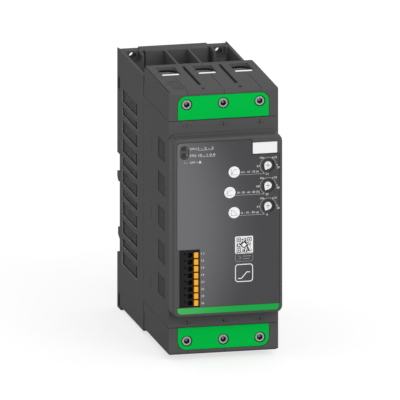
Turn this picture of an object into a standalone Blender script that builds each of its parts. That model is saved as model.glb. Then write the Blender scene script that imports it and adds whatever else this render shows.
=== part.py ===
"""Three-pole soft starter for a motor, in metres, +Z up, front at -Y.

The origin lies on the surface that the device stands on, under the middle of its outer box.
Depth is built up from the front: a control panel in a bezel, a front section with the power
terminals at its upper and lower end, a rear section round the heat sink, and a base plate
that grips a 35 mm rail or is screwed to a wall.
"""

import math

import bmesh
import bpy
from mathutils import Matrix, Vector

for leftover in list(bpy.data.objects):
    bpy.data.objects.remove(leftover, do_unlink=True)

# Clearance between neighbouring pieces, and how far a cutter runs past the face it opens
GAP = 0.0003
OVERCUT = 0.0010

# Sides of the outlines that stand for round wells, shafts and pins
WELL_SIDES = 24
SHAFT_SIDES = 16
PIN_SIDES = 10

# Poles and outer box
POLE_PITCH = 0.0270
POLE_COUNT = 3
WIDTH = POLE_COUNT * POLE_PITCH
BEZEL_DEPTH = 0.0144
FRONT_DEPTH = 0.0810
REAR_DEPTH = 0.0773
PLATE_DEPTH = 0.0077
FRONT_HEIGHT = 0.1958
REAR_SHORTER = 0.0061
FOOT_HEIGHT = 0.0027
FRONT_LIFT = 0.0016

# Walls
SIDE_WALL = 0.0022
FACE_WALL = 0.0028
END_WALL = 0.0022
SHELF = 0.0025
PARTITION = 0.0025

# Terminal covers and what sits in their front faces
UPPER_COVER_HEIGHT = 0.0217
LOWER_COVER_HEIGHT = 0.0203
COVER_SETBACK = 0.0012
COVER_EDGE_RADIUS = 0.0024
RABBET_WIDTH = 0.0011
RABBET_DEPTH = 0.0010
CORNER_NOTCH_WIDTH = 0.0012
CORNER_NOTCH_DEPTH = 0.0015
CORNER_NOTCH_HEIGHT = 0.0120
GROOVE_WIDTH = 0.0004
GROOVE_DEPTH = 0.0003
GROOVE_OFFSET = 0.0008
STRIP_PAST_POLE = 0.0066
STRIP_END_MARGIN = 0.0038
STRIP_RADIUS = 0.0060
STRIP_THICKNESS = 0.0008
BARRIER = 0.0042
SLIT_WIDTH = 0.0024
SLIT_DEPTH = 0.0120
SLIT_FRONT = 0.0166
SLIT_MARGIN = 0.0077
PEG_HOLE_WIDTH = 0.0024
PEG_HOLE_LENGTH = 0.0045
PEG_HOLE_DEPTH = 0.0060
PEG_HOLE_FRONT = 0.0040

# Power terminals: cable entry, screw, clamp cage and bar
ENTRY_MARGIN = 0.0090
ENTRY_LENGTH = 0.0235
ENTRY_ARCH = 0.0050
ENTRY_STEP = 0.0010
SCREW_INSET = 0.0101
SCREW_RADIUS = 0.0038
SCREW_RECESS = 0.0005
SOCKET_ACROSS_FLATS = 0.0040
SOCKET_DEPTH = 0.0042
COLLAR_RADIUS = 0.0054
COLLAR_THICKNESS = 0.0020
CAGE_CLEARANCE = 0.0018
CAGE_HEIGHT = 0.0130
CAGE_SIDE = 0.0020
CAGE_FRONT = 0.0040
CAGE_BACK = 0.0025
CAGE_SHORTER = 0.0010
BAR_THICKNESS = 0.0040
BAR_CLEARANCE = 0.0009
BAR_CORNER_RADIUS = 0.0012
BAR_SUNK = 0.0002

# Bezel, panel and stripe
BEZEL_BOTTOM = 0.0315
BEZEL_TOP = 0.0320
BEZEL_RADIUS = 0.0048
BEZEL_EDGE = 0.0014
BEZEL_FACE = 0.0034
BEZEL_FLARE = 0.0011
BEZEL_FLARE_DEPTH = 0.0035
PANEL_RECESS = 0.0009
PANEL_THICKNESS = 0.0006
PANEL_LEFT_MARGIN = 0.0031
PANEL_RIGHT_MARGIN = 0.0025
PANEL_TOP_MARGIN = 0.0028
PANEL_RADIUS = 0.0023
STRIPE_MARGIN = 0.0023
STRIPE_HEIGHT = 0.0045
STRIPE_RADIUS = 0.0030

# Writing label, clipped into the bezel
LABEL_SIDE_MARGIN = 0.0039
LABEL_WIDTH = 0.0181
LABEL_HEIGHT = 0.0083
LABEL_TOP_MARGIN = 0.0052
LABEL_THICKNESS = 0.0010
LABEL_POCKET = 0.0016
LABEL_FRAME = 0.0003
NOTCH_INSET = 0.0055
NOTCH_WIDTH = 0.0060
NOTCH_HEIGHT = 0.0011

# Adjusting knobs
KNOB_COUNT = 3
KNOB_PITCH = 0.0151
KNOB_SIDE_MARGIN = 0.0107
KNOB_TOP_MARGIN = 0.0226
KNOB_RADIUS = 0.00275
KNOB_STEPS = 20
KNOB_BEAK = 0.0041
KNOB_BEAK_ANGLE = math.radians(-150)
KNOB_THICKNESS = 0.0016
KNOB_SUNK = 0.0005
KNOB_WELL_RADIUS = 0.00485
SPINDLE_RADIUS = 0.0014
SPINDLE_LENGTH = 0.0038
POTENTIOMETER_SIDE = 0.0092

# Status window
WINDOW_SIDE_MARGIN = 0.0084
WINDOW_TOP_MARGIN = 0.0049
WINDOW_WIDTH = 0.0064
WINDOW_HEIGHT = 0.0102
WINDOW_RADIUS = 0.0031
LENS_RADIUS = 0.0020
LENS_PITCH = 0.0052
LENS_OFFSET = -0.0003
LENS_RISE = 0.0002

# Control connector with its release levers
CONTACT_COUNT = 8
CONTACT_PITCH = 0.00508
CONNECTOR_SIDE_MARGIN = 0.0050
CONNECTOR_WIDTH = 0.0146
CONNECTOR_BOTTOM_MARGIN = 0.0074
CONNECTOR_HEIGHT = 0.0422
CONNECTOR_SUNK = 0.0012
CONNECTOR_RADIUS = 0.0008
FIRST_CONTACT = 0.0028
LEVER_INSET = 0.0041
LEVER_WIDTH = 0.0033
LEVER_HEIGHT = 0.0042
LEVER_SUNK = 0.0004
LEVER_LENGTH = 0.0058
LEVER_TRAVEL = 0.0015
LEVER_NOTCH = 0.0008
WIRE_HOLE_INSET = 0.0068
WIRE_HOLE_RADIUS = 0.0020
WIRE_HOLE_DEPTH = 0.0050
TEST_HOLE_INSET = 0.0105
TEST_HOLE_RADIUS = 0.00075
TEST_HOLE_RISE = 0.0010
TEST_HOLE_DEPTH = 0.0020

# Control board behind the panel
BOARD_THICKNESS = 0.0016
CONTROL_BOARD_SETBACK = 0.0034

# Vents of the front section: shallow fields with fine upright slots
FRONT_VENT_COUNT = 5
FRONT_VENT_TOP = 0.0405
FRONT_VENT_BOTTOM = 0.0388
FRONT_VENT_HEIGHT = 0.0151
FRONT_VENT_Y = 0.0116
FRONT_VENT_WIDTH = 0.0223
FRONT_VENT_RECESS = 0.0005
FRONT_VENT_SLOTS = 8
FRONT_VENT_SLOT = 0.0009

# Latch marks: upright lines with a pit above and at the foot, and a nick at each seam
LATCH_MARGIN = 0.0250
LATCH_TOP = 0.0480
LATCH_HEIGHT = 0.0080
LATCH_WIDTH = 0.0008
LATCH_DEPTH = 0.0010
LATCH_PIT = 0.0012
LATCH_PIT_RISE = 0.0037

# Windows of the rear section: tall and short ones, from the top down, and the thin wall there
REAR_VENT_ORDER = "TSTTSTSTTST"
SHORT_TO_TALL = 0.604
REAR_VENT_GAP = 0.00358
REAR_VENT_TOP = 0.0262
REAR_VENT_BOTTOM = 0.0326
REAR_VENT_Y = 0.0214
REAR_VENT_MARGIN = 0.0074
SINK_WALL = 0.0008

# Open compartment above and below the heat sink
BACK_WALL = 0.0032
PLATE_TONGUE = 0.0036
RIB_FROM_BARRIER = 0.0050
RIB_THICKNESS = 0.0015
RIB_LENGTH = 0.0480
RIB_HEIGHT = 0.0200
PILLAR_INWARD = 0.00625
PILLAR_OUTWARD = 0.00315
PILLAR_DEPTH = 0.0072
PILLAR_HEIGHT = 0.0220
PILLAR_DROP = 0.0007
PILLAR_SLOT = 0.0022

# Wall fixing holes, and the latch pockets and low corners of the plate that they are in
FIXING_SIDE_MARGIN = 0.00875
FIXING_INSET = 0.0038
FIXING_RADIUS = 0.0026
DRIVER_RADIUS = 0.0044
LOW_CORNER_SIDE = 0.0011
LOW_CORNER_WIDTH = 0.0142
LOW_CORNER_DEPTH = 0.0009
PLATE_POCKET_DEPTH = 0.0016
PLATE_POCKET_AHEAD = 0.0013
PLATE_POCKET_BEHIND = 0.0051
PLATE_POCKET_HEIGHT = 0.0093
PLATE_POCKET_TOP = 0.0202
PLATE_POCKET_LOW = 0.0010

# Rail seat
RAIL_HEIGHT = 0.0350
RAIL_CENTRE = 0.0752
RAIL_LIP = 0.0010
RECESS_ABOVE = 0.0371
RECESS_BELOW = 0.0368
HOOK_GRIP = 0.0009
HOOK_HEIGHT = 0.0067
HOOK_TAPER = 0.0026
LIP_DEPTH = 0.0053
LIP_HEIGHT = 0.0055
LIP_TAPER = 0.0025
CLIP_HALF_WIDTH = 0.0120
CLIP_THICKNESS = 0.0024
CLIP_HEAD_DEPTH = 0.0058
CLIP_HEAD_HEIGHT = 0.0068
CLIP_GRIP = 0.0012
CLIP_TAIL_RISE = 0.0029
CLIP_EYE_WIDTH = 0.0080
CLIP_EYE_HEIGHT = 0.0040
SPRING_RADIUS = 0.0014
SPRING_WIRE_RADIUS = 0.0003
SPRING_TURNS = 6

# Heat sink and the power parts on it
SINK_TOP = 0.0233
SINK_BOTTOM = 0.0224
FLANGE_FRONT = 0.0190
FLANGE = 0.0055
WEB_HALF_WIDTH = 0.0040
FIN_PITCH = 0.00303
FIN_THICKNESS = 0.0017
MODULE_DEPTH = 0.0107
MODULE_SPACE = 0.0052
MODULE_HEIGHT = 0.1010
MODULE_STEP = 0.0030
MODULE_WAIST = 0.0600
BAR_FOOT = 0.0150
UPPER_BAR_DROP = 0.0273
LOWER_BAR_RISE = 0.0185
POWER_BOARD_MARGIN = 0.0130
BOARD_BAR_CLEARANCE = 0.0020
RELAY_DEPTH = 0.0257
RELAY_SPACE = 0.0058
RELAY_RING_CLEARANCE = 0.0110
RELAY_EDGE = 0.0010
RING_DEPTH = 0.0100
RING_MARGIN = 0.0250
RING_CLEARANCE = 0.0004

# Places that follow from the sizes above
HALF = WIDTH / 2
DEPTH = BEZEL_DEPTH + FRONT_DEPTH + REAR_DEPTH + PLATE_DEPTH
BEZEL_Y = -DEPTH / 2
FACE_Y = BEZEL_Y + BEZEL_DEPTH
SECTION_Y = FACE_Y + FRONT_DEPTH
REAR_Y = SECTION_Y + GAP
PLATE_Y = SECTION_Y + REAR_DEPTH
BACK_Y = PLATE_Y + PLATE_DEPTH
REAR_BOTTOM = FOOT_HEIGHT
REAR_TOP = REAR_BOTTOM + FRONT_HEIGHT - REAR_SHORTER
FRONT_BOTTOM = REAR_BOTTOM + FRONT_LIFT
FRONT_TOP = FRONT_BOTTOM + FRONT_HEIGHT
UPPER_SEAM = FRONT_TOP - UPPER_COVER_HEIGHT
LOWER_SEAM = FRONT_BOTTOM + LOWER_COVER_HEIGHT
ENTRY_BACK_Y = SECTION_Y - ENTRY_MARGIN
ENTRY_FRONT_Y = ENTRY_BACK_Y - ENTRY_LENGTH
POLES = [POLE_PITCH * (index - (POLE_COUNT - 1) / 2) for index in range(POLE_COUNT)]
BARRIERS = [(left + right) / 2 for left, right in zip(POLES, POLES[1:])]
SIDES = {"left": -1, "right": 1}

# Half widths of what stands on each pole
CAGE_HALF_WIDTH = (POLE_PITCH - BARRIER) / 2 - CAGE_CLEARANCE
BAR_HALF_WIDTH = CAGE_HALF_WIDTH - CAGE_SIDE - BAR_CLEARANCE
ENTRY_HALF_WIDTH = BAR_HALF_WIDTH + GAP
MODULE_HALF_WIDTH = (POLE_PITCH - MODULE_SPACE) / 2
RELAY_HALF_WIDTH = (POLE_PITCH - RELAY_SPACE) / 2
RING_RADIUS = POLE_PITCH / 2 - SIDE_WALL - GAP

# Places across the front and the back
STRIP_HALF_WIDTH = POLES[-1] + STRIP_PAST_POLE
PANEL_LEFT = -HALF + PANEL_LEFT_MARGIN
PANEL_RIGHT = HALF - PANEL_RIGHT_MARGIN
LABEL_RIGHT = HALF - LABEL_SIDE_MARGIN
LABEL_LEFT = LABEL_RIGHT - LABEL_WIDTH
NOTCH_LEFT = LABEL_LEFT + NOTCH_INSET
KNOB_X = HALF - KNOB_SIDE_MARGIN
WINDOW_X = -HALF + WINDOW_SIDE_MARGIN
CONNECTOR_LEFT = -HALF + CONNECTOR_SIDE_MARGIN
CONNECTOR_RIGHT = CONNECTOR_LEFT + CONNECTOR_WIDTH
LEVER_LEFT = CONNECTOR_RIGHT - LEVER_INSET
WIRE_HOLE_X = CONNECTOR_RIGHT - WIRE_HOLE_INSET
TEST_HOLE_X = CONNECTOR_RIGHT - TEST_HOLE_INSET
RIB_X = BARRIERS[-1] - RIB_FROM_BARRIER
FIXING_X = HALF - FIXING_SIDE_MARGIN
PILLAR_INNER_X = FIXING_X - PILLAR_INWARD
PILLAR_OUTER_X = FIXING_X + PILLAR_OUTWARD
LOW_CORNER_OUTER = HALF - LOW_CORNER_SIDE
LOW_CORNER_INNER = LOW_CORNER_OUTER - LOW_CORNER_WIDTH

# Each end of the device: its outer plane, the seam of its cover, and which way is outwards
ENDS = {
    "upper": (FRONT_TOP, UPPER_SEAM, 1),
    "lower": (FRONT_BOTTOM, LOWER_SEAM, -1),
}


# Shape tools

# For each direction of extrusion, the outline's two axes and the axis itself
AXES = {"X": (1, 2, 0), "Y": (0, 2, 1), "Z": (0, 1, 2)}


def box(bm, x, y, z):
    """Closed box between pairs of limits, in any order."""
    limits = [sorted(pair) for pair in (x, y, z)]
    for vert in bmesh.ops.create_cube(bm, size=1.0)["verts"]:
        vert.co = [limits[axis][vert.co[axis] > 0] for axis in range(3)]


def prism(bm, outline, axis, low, high):
    """Carries a flat outline straight along an axis and closes both ends."""
    across, up, along = AXES[axis]
    ring = []
    for a, b in outline:
        point = [0.0, 0.0, 0.0]
        point[across], point[up], point[along] = a, b, low
        ring.append(bm.verts.new(point))
    swept = bmesh.ops.extrude_face_region(bm, geom=[bm.faces.new(ring)])
    far = [item for item in swept["geom"] if isinstance(item, bmesh.types.BMVert)]
    shift = [0.0, 0.0, 0.0]
    shift[along] = high - low
    bmesh.ops.translate(bm, verts=far, vec=shift)
    return ring, far


def turned(bm, profile, centre, segments):
    """Turns a profile of (radius, distance) pairs round a line along Y through centre."""
    centre = Vector(centre)
    verts = [bm.verts.new(centre + Vector((radius, along, 0))) for radius, along in profile]
    edges = [bm.edges.new(pair) for pair in zip(verts, verts[1:])]
    bmesh.ops.spin(bm, geom=verts + edges, cent=centre, axis=(0, 1, 0),
                   angle=math.tau, steps=segments, use_merge=True)
    bmesh.ops.remove_doubles(bm, verts=bm.verts, dist=1e-6)


def rounded(corners, steps=4):
    """Outline through (a, b, radius) corners, each with an arc of its own radius."""
    points = []
    for index, (a, b, radius) in enumerate(corners):
        if not radius:
            points.append((a, b))
            continue
        here = Vector((a, b))
        before = (Vector(corners[index - 1][:2]) - here).normalized()
        after = (Vector(corners[(index + 1) % len(corners)][:2]) - here).normalized()
        half = before.angle(after) / 2
        centre = here + (before + after).normalized() * radius / math.sin(half)
        start = here + before * radius / math.tan(half) - centre
        sweep = math.copysign(math.pi - 2 * half, before.y * after.x - before.x * after.y)
        for step in range(steps + 1):
            points.append(tuple(centre + Matrix.Rotation(sweep * step / steps, 2) @ start))
    return points


def rounded_box(a, b, radius, steps=4):
    """Outline of a rectangle between pairs of limits, with equal corner radii."""
    corners = [(a[0], b[0]), (a[1], b[0]), (a[1], b[1]), (a[0], b[1])]
    return rounded([(*corner, radius) for corner in corners], steps)


def circle(a, b, radius, sides):
    """Regular outline of a round hole or pin."""
    turns = [math.tau * (side + 0.5) / sides for side in range(sides)]
    return [(a + radius * math.cos(turn), b + radius * math.sin(turn)) for turn in turns]


def material(name, colour, roughness, metallic=0.0):
    """Principled material, colour in linear light."""
    made = bpy.data.materials.new(name)
    made.use_nodes = True
    shader = made.node_tree.nodes["Principled BSDF"]
    shader.inputs["Base Color"].default_value = (*colour, 1.0)
    shader.inputs["Roughness"].default_value = roughness
    shader.inputs["Metallic"].default_value = metallic
    return made


def piece(name, bm, finish=None, origin=None):
    """Object from a bmesh, with outward faces, its own finish and its origin at a point."""
    bmesh.ops.recalc_face_normals(bm, faces=bm.faces)
    mesh = bpy.data.meshes.new(name)
    bm.to_mesh(mesh)
    bm.free()
    made = bpy.data.objects.new(name, mesh)
    bpy.context.scene.collection.objects.link(made)
    if finish:
        mesh.materials.append(finish)
    if origin is not None:
        mesh.transform(Matrix.Translation(-Vector(origin)))
        made.location = origin
    return made


def combine(target, bm, operation, label):
    """Boolean of the target with a hidden tool shape."""
    tool = piece(f"{target.name}_{label}", bm)
    tool.hide_render = True
    tool.display_type = "WIRE"
    step = target.modifiers.new(label, "BOOLEAN")
    step.operation = operation
    step.solver = "EXACT"
    step.object = tool


def cut(target, bm, label="cut"):
    """Takes the shape out of the target."""
    combine(target, bm, "DIFFERENCE", label)


def add(target, bm, label="add"):
    """Makes the shape one with the target."""
    combine(target, bm, "UNION", label)


# Finishes

HOUSING_GREY = material("housing_grey_plastic", (0.070, 0.070, 0.070), 0.52)
PANEL_GREY = material("panel_grey_film", (0.130, 0.130, 0.133), 0.45)
GREEN = material("green_plastic", (0.0, 0.445, 0.058), 0.42)
BLACK = material("black_plastic", (0.012, 0.012, 0.013), 0.45)
ORANGE = material("orange_plastic", (0.95, 0.35, 0.03), 0.40)
WHITE = material("white_plastic", (0.87, 0.87, 0.88), 0.42)
SMOKE = material("smoked_clear_plastic", (0.045, 0.045, 0.045), 0.25)
STEEL = material("zinc_plated_steel", (0.55, 0.55, 0.54), 0.32, 1.0)
TINNED = material("tinned_copper", (0.62, 0.61, 0.58), 0.30, 1.0)
ANODISED = material("black_anodised_aluminium", (0.035, 0.036, 0.038), 0.45, 0.6)
BOARD = material("green_circuit_board", (0.02, 0.14, 0.06), 0.45)
SPRING_STEEL = material("spring_steel", (0.45, 0.45, 0.44), 0.28, 1.0)


# Base plate: a slab with a full-height tongue that sits in the rear section's pocket, a seat
# for a 35 mm rail across its back, and a foot along its bottom edge

RAIL_Z = REAR_BOTTOM + RAIL_CENTRE
RAIL_TOP = RAIL_Z + RAIL_HEIGHT / 2
RAIL_BOTTOM = RAIL_Z - RAIL_HEIGHT / 2
RECESS_TOP = RAIL_Z + RECESS_ABOVE
RECESS_BOTTOM = RAIL_Z - RECESS_BELOW
HOOK_MOUTH_Y = PLATE_Y + RAIL_LIP + 2 * GAP
TONGUE_HALF = HALF - SIDE_WALL - GAP
CLIP_MOUTH_Y = PLATE_Y + CLIP_THICKNESS + 2 * GAP


def fixing_places():
    """Centre heights of the fixing holes, with the direction to the near end."""
    return [(REAR_TOP - FIXING_INSET, 1), (REAR_BOTTOM + FIXING_INSET, -1)]


def plate_pockets(bm):
    """Latch pockets across the seam between the base plate and the rear section."""
    for way in SIDES.values():
        sides = (way * (HALF - PLATE_POCKET_DEPTH), way * (HALF + OVERCUT))
        for low in (REAR_TOP - PLATE_POCKET_TOP - PLATE_POCKET_HEIGHT, REAR_BOTTOM - PLATE_POCKET_LOW):
            depth = (PLATE_Y - PLATE_POCKET_AHEAD, PLATE_Y + PLATE_POCKET_BEHIND)
            box(bm, sides, depth, (low, low + PLATE_POCKET_HEIGHT))


def base_plate():
    """The rail lies against the seat below the hook, and the hook's throat is a little deeper."""
    nose = RAIL_TOP - HOOK_GRIP
    throat = PLATE_Y - GAP
    lip_top = RAIL_BOTTOM - GAP
    lip_low = lip_top - LIP_HEIGHT - LIP_TAPER
    tongue = PLATE_Y - PLATE_TONGUE
    profile = [
        (tongue, 0), (tongue, REAR_TOP), (BACK_Y, REAR_TOP), (BACK_Y, RECESS_TOP),
        (PLATE_Y, RECESS_TOP), (PLATE_Y, nose + HOOK_HEIGHT), (BACK_Y, nose + HOOK_HEIGHT),
        (BACK_Y, nose + HOOK_TAPER), (BACK_Y - HOOK_TAPER, nose), (HOOK_MOUTH_Y, nose),
        (HOOK_MOUTH_Y, RAIL_TOP + GAP), (throat, RAIL_TOP + GAP), (throat, nose - GAP),
        (PLATE_Y, nose - GAP), (PLATE_Y, lip_top),
        (PLATE_Y + LIP_DEPTH, lip_top), (PLATE_Y + LIP_DEPTH, lip_top - LIP_HEIGHT),
        (PLATE_Y, lip_low), (PLATE_Y, RECESS_BOTTOM), (BACK_Y, RECESS_BOTTOM), (BACK_Y, 0),
    ]
    bm = bmesh.new()
    prism(bm, profile, "X", -HALF, HALF)
    plate = piece("base_plate", bm, HOUSING_GREY)

    bm = bmesh.new()
    clip_way = (-CLIP_HALF_WIDTH - GAP, CLIP_HALF_WIDTH + GAP)
    box(bm, clip_way, (PLATE_Y, CLIP_MOUTH_Y), (-OVERCUT, RECESS_BOTTOM + OVERCUT))
    box(bm, clip_way, (PLATE_Y, BACK_Y + OVERCUT), (lip_low - OVERCUT, lip_top + OVERCUT))
    for way in SIDES.values():
        # The rear section's side walls pass the tongue here, above the feet
        box(bm, (way * TONGUE_HALF, way * (HALF + OVERCUT)), (tongue - OVERCUT, PLATE_Y),
            (REAR_BOTTOM - GAP, REAR_TOP + OVERCUT))
        for height, _ in fixing_places():
            hole = circle(way * FIXING_X, height, FIXING_RADIUS, SHAFT_SIDES)
            prism(bm, hole, "Y", tongue - OVERCUT, BACK_Y + OVERCUT)
    cut(plate, bm, "clip_way_and_holes")
    bm = bmesh.new()
    plate_pockets(bm)
    for way in SIDES.values():
        box(bm, (way * LOW_CORNER_INNER, way * LOW_CORNER_OUTER), (PLATE_Y, BACK_Y + OVERCUT),
            (REAR_TOP - LOW_CORNER_DEPTH, REAR_TOP + OVERCUT))
    cut(plate, bm, "latch_pockets_and_low_corners")
    return plate


# Rail clip: a flat slider behind the base plate, pushed up by a coil spring

def rail_clip():
    front = PLATE_Y + GAP
    rear = front + CLIP_THICKNESS
    head = PLATE_Y + CLIP_HEAD_DEPTH
    nose = RAIL_BOTTOM + CLIP_GRIP
    shoulder = RAIL_BOTTOM - GAP
    chin = nose - CLIP_HEAD_HEIGHT
    tail = REAR_BOTTOM + CLIP_TAIL_RISE
    outline = [
        (front, tail), (rear, tail), (rear, chin), (head, chin), (head, nose - HOOK_GRIP),
        (head - HOOK_GRIP, nose), (HOOK_MOUTH_Y, nose), (HOOK_MOUTH_Y, shoulder), (front, shoulder),
    ]
    bm = bmesh.new()
    prism(bm, outline, "X", -CLIP_HALF_WIDTH, CLIP_HALF_WIDTH)
    clip = piece("rail_clip", bm, BLACK, (0, (front + rear) / 2, nose))
    bm = bmesh.new()
    eye = (tail + CLIP_THICKNESS, tail + CLIP_THICKNESS + CLIP_EYE_HEIGHT)
    box(bm, (-CLIP_EYE_WIDTH / 2, CLIP_EYE_WIDTH / 2), (front - OVERCUT, rear + OVERCUT), eye)
    cut(clip, bm, "driver_eye")

    # The spring stands on the lower slab's edge and ends under the clip's head
    low = RECESS_BOTTOM + GAP + SPRING_WIRE_RADIUS
    high = chin - GAP - SPRING_WIRE_RADIUS
    centre_y = rear + GAP + SPRING_RADIUS + SPRING_WIRE_RADIUS
    steps = SPRING_TURNS * 10
    wire = bpy.data.curves.new("rail_clip_spring", "CURVE")
    wire.dimensions = "3D"
    wire.bevel_depth = SPRING_WIRE_RADIUS
    wire.bevel_resolution = 1
    wire.use_fill_caps = True
    path = wire.splines.new("POLY")
    path.points.add(steps)
    for index, point in enumerate(path.points):
        turn = math.tau * SPRING_TURNS * index / steps
        height = low + (high - low) * index / steps
        across = SPRING_RADIUS * math.cos(turn)
        deep = centre_y + SPRING_RADIUS * math.sin(turn)
        point.co = (across, deep, height, 1.0)
    wire.materials.append(SPRING_STEEL)
    bpy.context.scene.collection.objects.link(bpy.data.objects.new("rail_clip_spring", wire))


# Rear section: a four-walled shell, open at the top and the bottom, with windows in its sides

INNER_BACK_Y = PLATE_Y - PLATE_TONGUE - GAP - BACK_WALL
INNER_FRONT_Y = REAR_Y + PARTITION
FLANGE_Y = SECTION_Y + FLANGE_FRONT
SINK_Z = (REAR_BOTTOM + SINK_BOTTOM, REAR_TOP - SINK_TOP)
BAR_HEIGHTS = (LOWER_SEAM + LOWER_BAR_RISE, UPPER_SEAM - UPPER_BAR_DROP)


def rear_windows():
    """Height limits of each side window, from the top down, to fill the space between margins."""
    shares = [{"T": 1.0, "S": SHORT_TO_TALL}[kind] for kind in REAR_VENT_ORDER]
    top = REAR_TOP - REAR_VENT_TOP
    open_height = top - REAR_BOTTOM - REAR_VENT_BOTTOM - REAR_VENT_GAP * (len(shares) - 1)
    for share in shares:
        low = top - open_height * share / sum(shares)
        yield low, top
        top = low - REAR_VENT_GAP


def rear_housing():
    bm = bmesh.new()
    box(bm, (-HALF, HALF), (REAR_Y, PLATE_Y - GAP), (REAR_BOTTOM, REAR_TOP))
    shell = piece("rear_housing", bm, HOUSING_GREY)

    bm = bmesh.new()
    heights = (REAR_BOTTOM - OVERCUT, REAR_TOP + OVERCUT)
    inside = HALF - SIDE_WALL
    box(bm, (-inside, inside), (INNER_FRONT_Y, INNER_BACK_Y), heights)
    box(bm, (-inside, inside), (INNER_BACK_Y + BACK_WALL, PLATE_Y + OVERCUT), heights)
    cut(shell, bm, "hollow")

    # The side walls are thin where the heat sink's fins stand behind the windows
    bm = bmesh.new()
    thin = HALF - SINK_WALL
    box(bm, (-thin, thin), (FLANGE_Y - GAP, INNER_BACK_Y), (SINK_Z[0] - GAP, SINK_Z[1] + GAP))
    cut(shell, bm, "sink_space")

    # Ribs and corner pillars of the upper compartment, and the same below
    bm = bmesh.new()
    for end, way in ((REAR_TOP, -1), (REAR_BOTTOM, 1)):
        for side in SIDES.values():
            rib = (side * RIB_X - RIB_THICKNESS / 2, side * RIB_X + RIB_THICKNESS / 2)
            box(bm, rib, (INNER_BACK_Y - RIB_LENGTH, INNER_BACK_Y + OVERCUT), (end, end + way * RIB_HEIGHT))
            pillar = (side * PILLAR_INNER_X, side * PILLAR_OUTER_X)
            heights = (end + way * PILLAR_DROP, end + way * PILLAR_HEIGHT)
            box(bm, pillar, (INNER_BACK_Y - PILLAR_DEPTH, INNER_BACK_Y + OVERCUT), heights)
    add(shell, bm, "ribs_and_pillars")

    bm = bmesh.new()
    wall_behind = (INNER_BACK_Y - OVERCUT, INNER_BACK_Y + BACK_WALL + OVERCUT)
    for side in SIDES.values():
        for low, top in rear_windows():
            depth = (SECTION_Y + REAR_VENT_Y, PLATE_Y - REAR_VENT_MARGIN)
            box(bm, (side * (inside - OVERCUT), side * (HALF + OVERCUT)), depth, (low, top))
        for height, way in fixing_places():
            # Slot for the screwdriver and the screw's head, open towards the near end
            left, right = side * FIXING_X - DRIVER_RADIUS, side * FIXING_X + DRIVER_RADIUS
            beyond = height + way * (FIXING_INSET + OVERCUT)
            bottom = height - way * DRIVER_RADIUS
            slot = rounded([(left, bottom, DRIVER_RADIUS), (right, bottom, DRIVER_RADIUS),
                            (right, beyond, 0), (left, beyond, 0)], 6)
            prism(bm, slot, "Y", INNER_BACK_Y - PILLAR_DEPTH - OVERCUT, wall_behind[1])
            # Slot in the back wall beside the pillar
            beside = (side * (PILLAR_INNER_X - GAP - PILLAR_SLOT), side * (PILLAR_INNER_X - GAP))
            foot = height + way * (FIXING_INSET - PILLAR_HEIGHT)
            box(bm, beside, wall_behind, (foot, beyond))
    for pole in POLES:
        for height in BAR_HEIGHTS:
            box(bm, (pole - BAR_HALF_WIDTH - GAP, pole + BAR_HALF_WIDTH + GAP),
                (REAR_Y - OVERCUT, INNER_FRONT_Y + OVERCUT),
                (height - BAR_THICKNESS / 2 - GAP, height + BAR_THICKNESS / 2 + GAP))
    plate_pockets(bm)
    cut(shell, bm, "windows")
    return shell


# Heat sink: an extrusion with a mounting flange in front and fins to both sides of its web

def heat_sink():
    edge = HALF - SINK_WALL - GAP
    back = INNER_BACK_Y - GAP
    first = FLANGE_Y + FLANGE
    count = int((back - first) / FIN_PITCH)
    right = [(edge, FLANGE_Y), (edge, first), (WEB_HALF_WIDTH, first)]
    for fin in range(count):
        rear = back - (count - 1 - fin) * FIN_PITCH
        front = rear - FIN_THICKNESS
        right += [(WEB_HALF_WIDTH, front), (edge, front), (edge, rear), (WEB_HALF_WIDTH, rear)]
    right.pop()
    outline = right + [(-x, y) for x, y in reversed(right)]
    bm = bmesh.new()
    prism(bm, outline, "Z", *SINK_Z)
    return piece("heat_sink", bm, ANODISED)


# Power path of each pole: bars from the upper and lower terminal to a thyristor module

MODULE_Y = FLANGE_Y - GAP - MODULE_DEPTH
MODULE_MIDDLE = sum(SINK_Z) / 2
MODULE_Z = (MODULE_MIDDLE - MODULE_HEIGHT / 2, MODULE_MIDDLE + MODULE_HEIGHT / 2)
BAR_FOOT_BACK = MODULE_Y - GAP
BAR_FRONT = ENTRY_FRONT_Y + GAP


def thyristor_module(name, pole):
    """Block with a narrower waist between its two raised terminal ends."""
    low, high = MODULE_Z
    waist = (MODULE_MIDDLE - MODULE_WAIST / 2, MODULE_MIDDLE + MODULE_WAIST / 2)
    back = MODULE_Y + MODULE_DEPTH
    step = MODULE_Y + MODULE_STEP
    outline = [(back, low), (back, high), (MODULE_Y, high), (MODULE_Y, waist[1]), (step, waist[1]),
               (step, waist[0]), (MODULE_Y, waist[0]), (MODULE_Y, low)]
    bm = bmesh.new()
    prism(bm, outline, "X", pole - MODULE_HALF_WIDTH, pole + MODULE_HALF_WIDTH)
    return piece(name, bm, BLACK)


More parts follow.
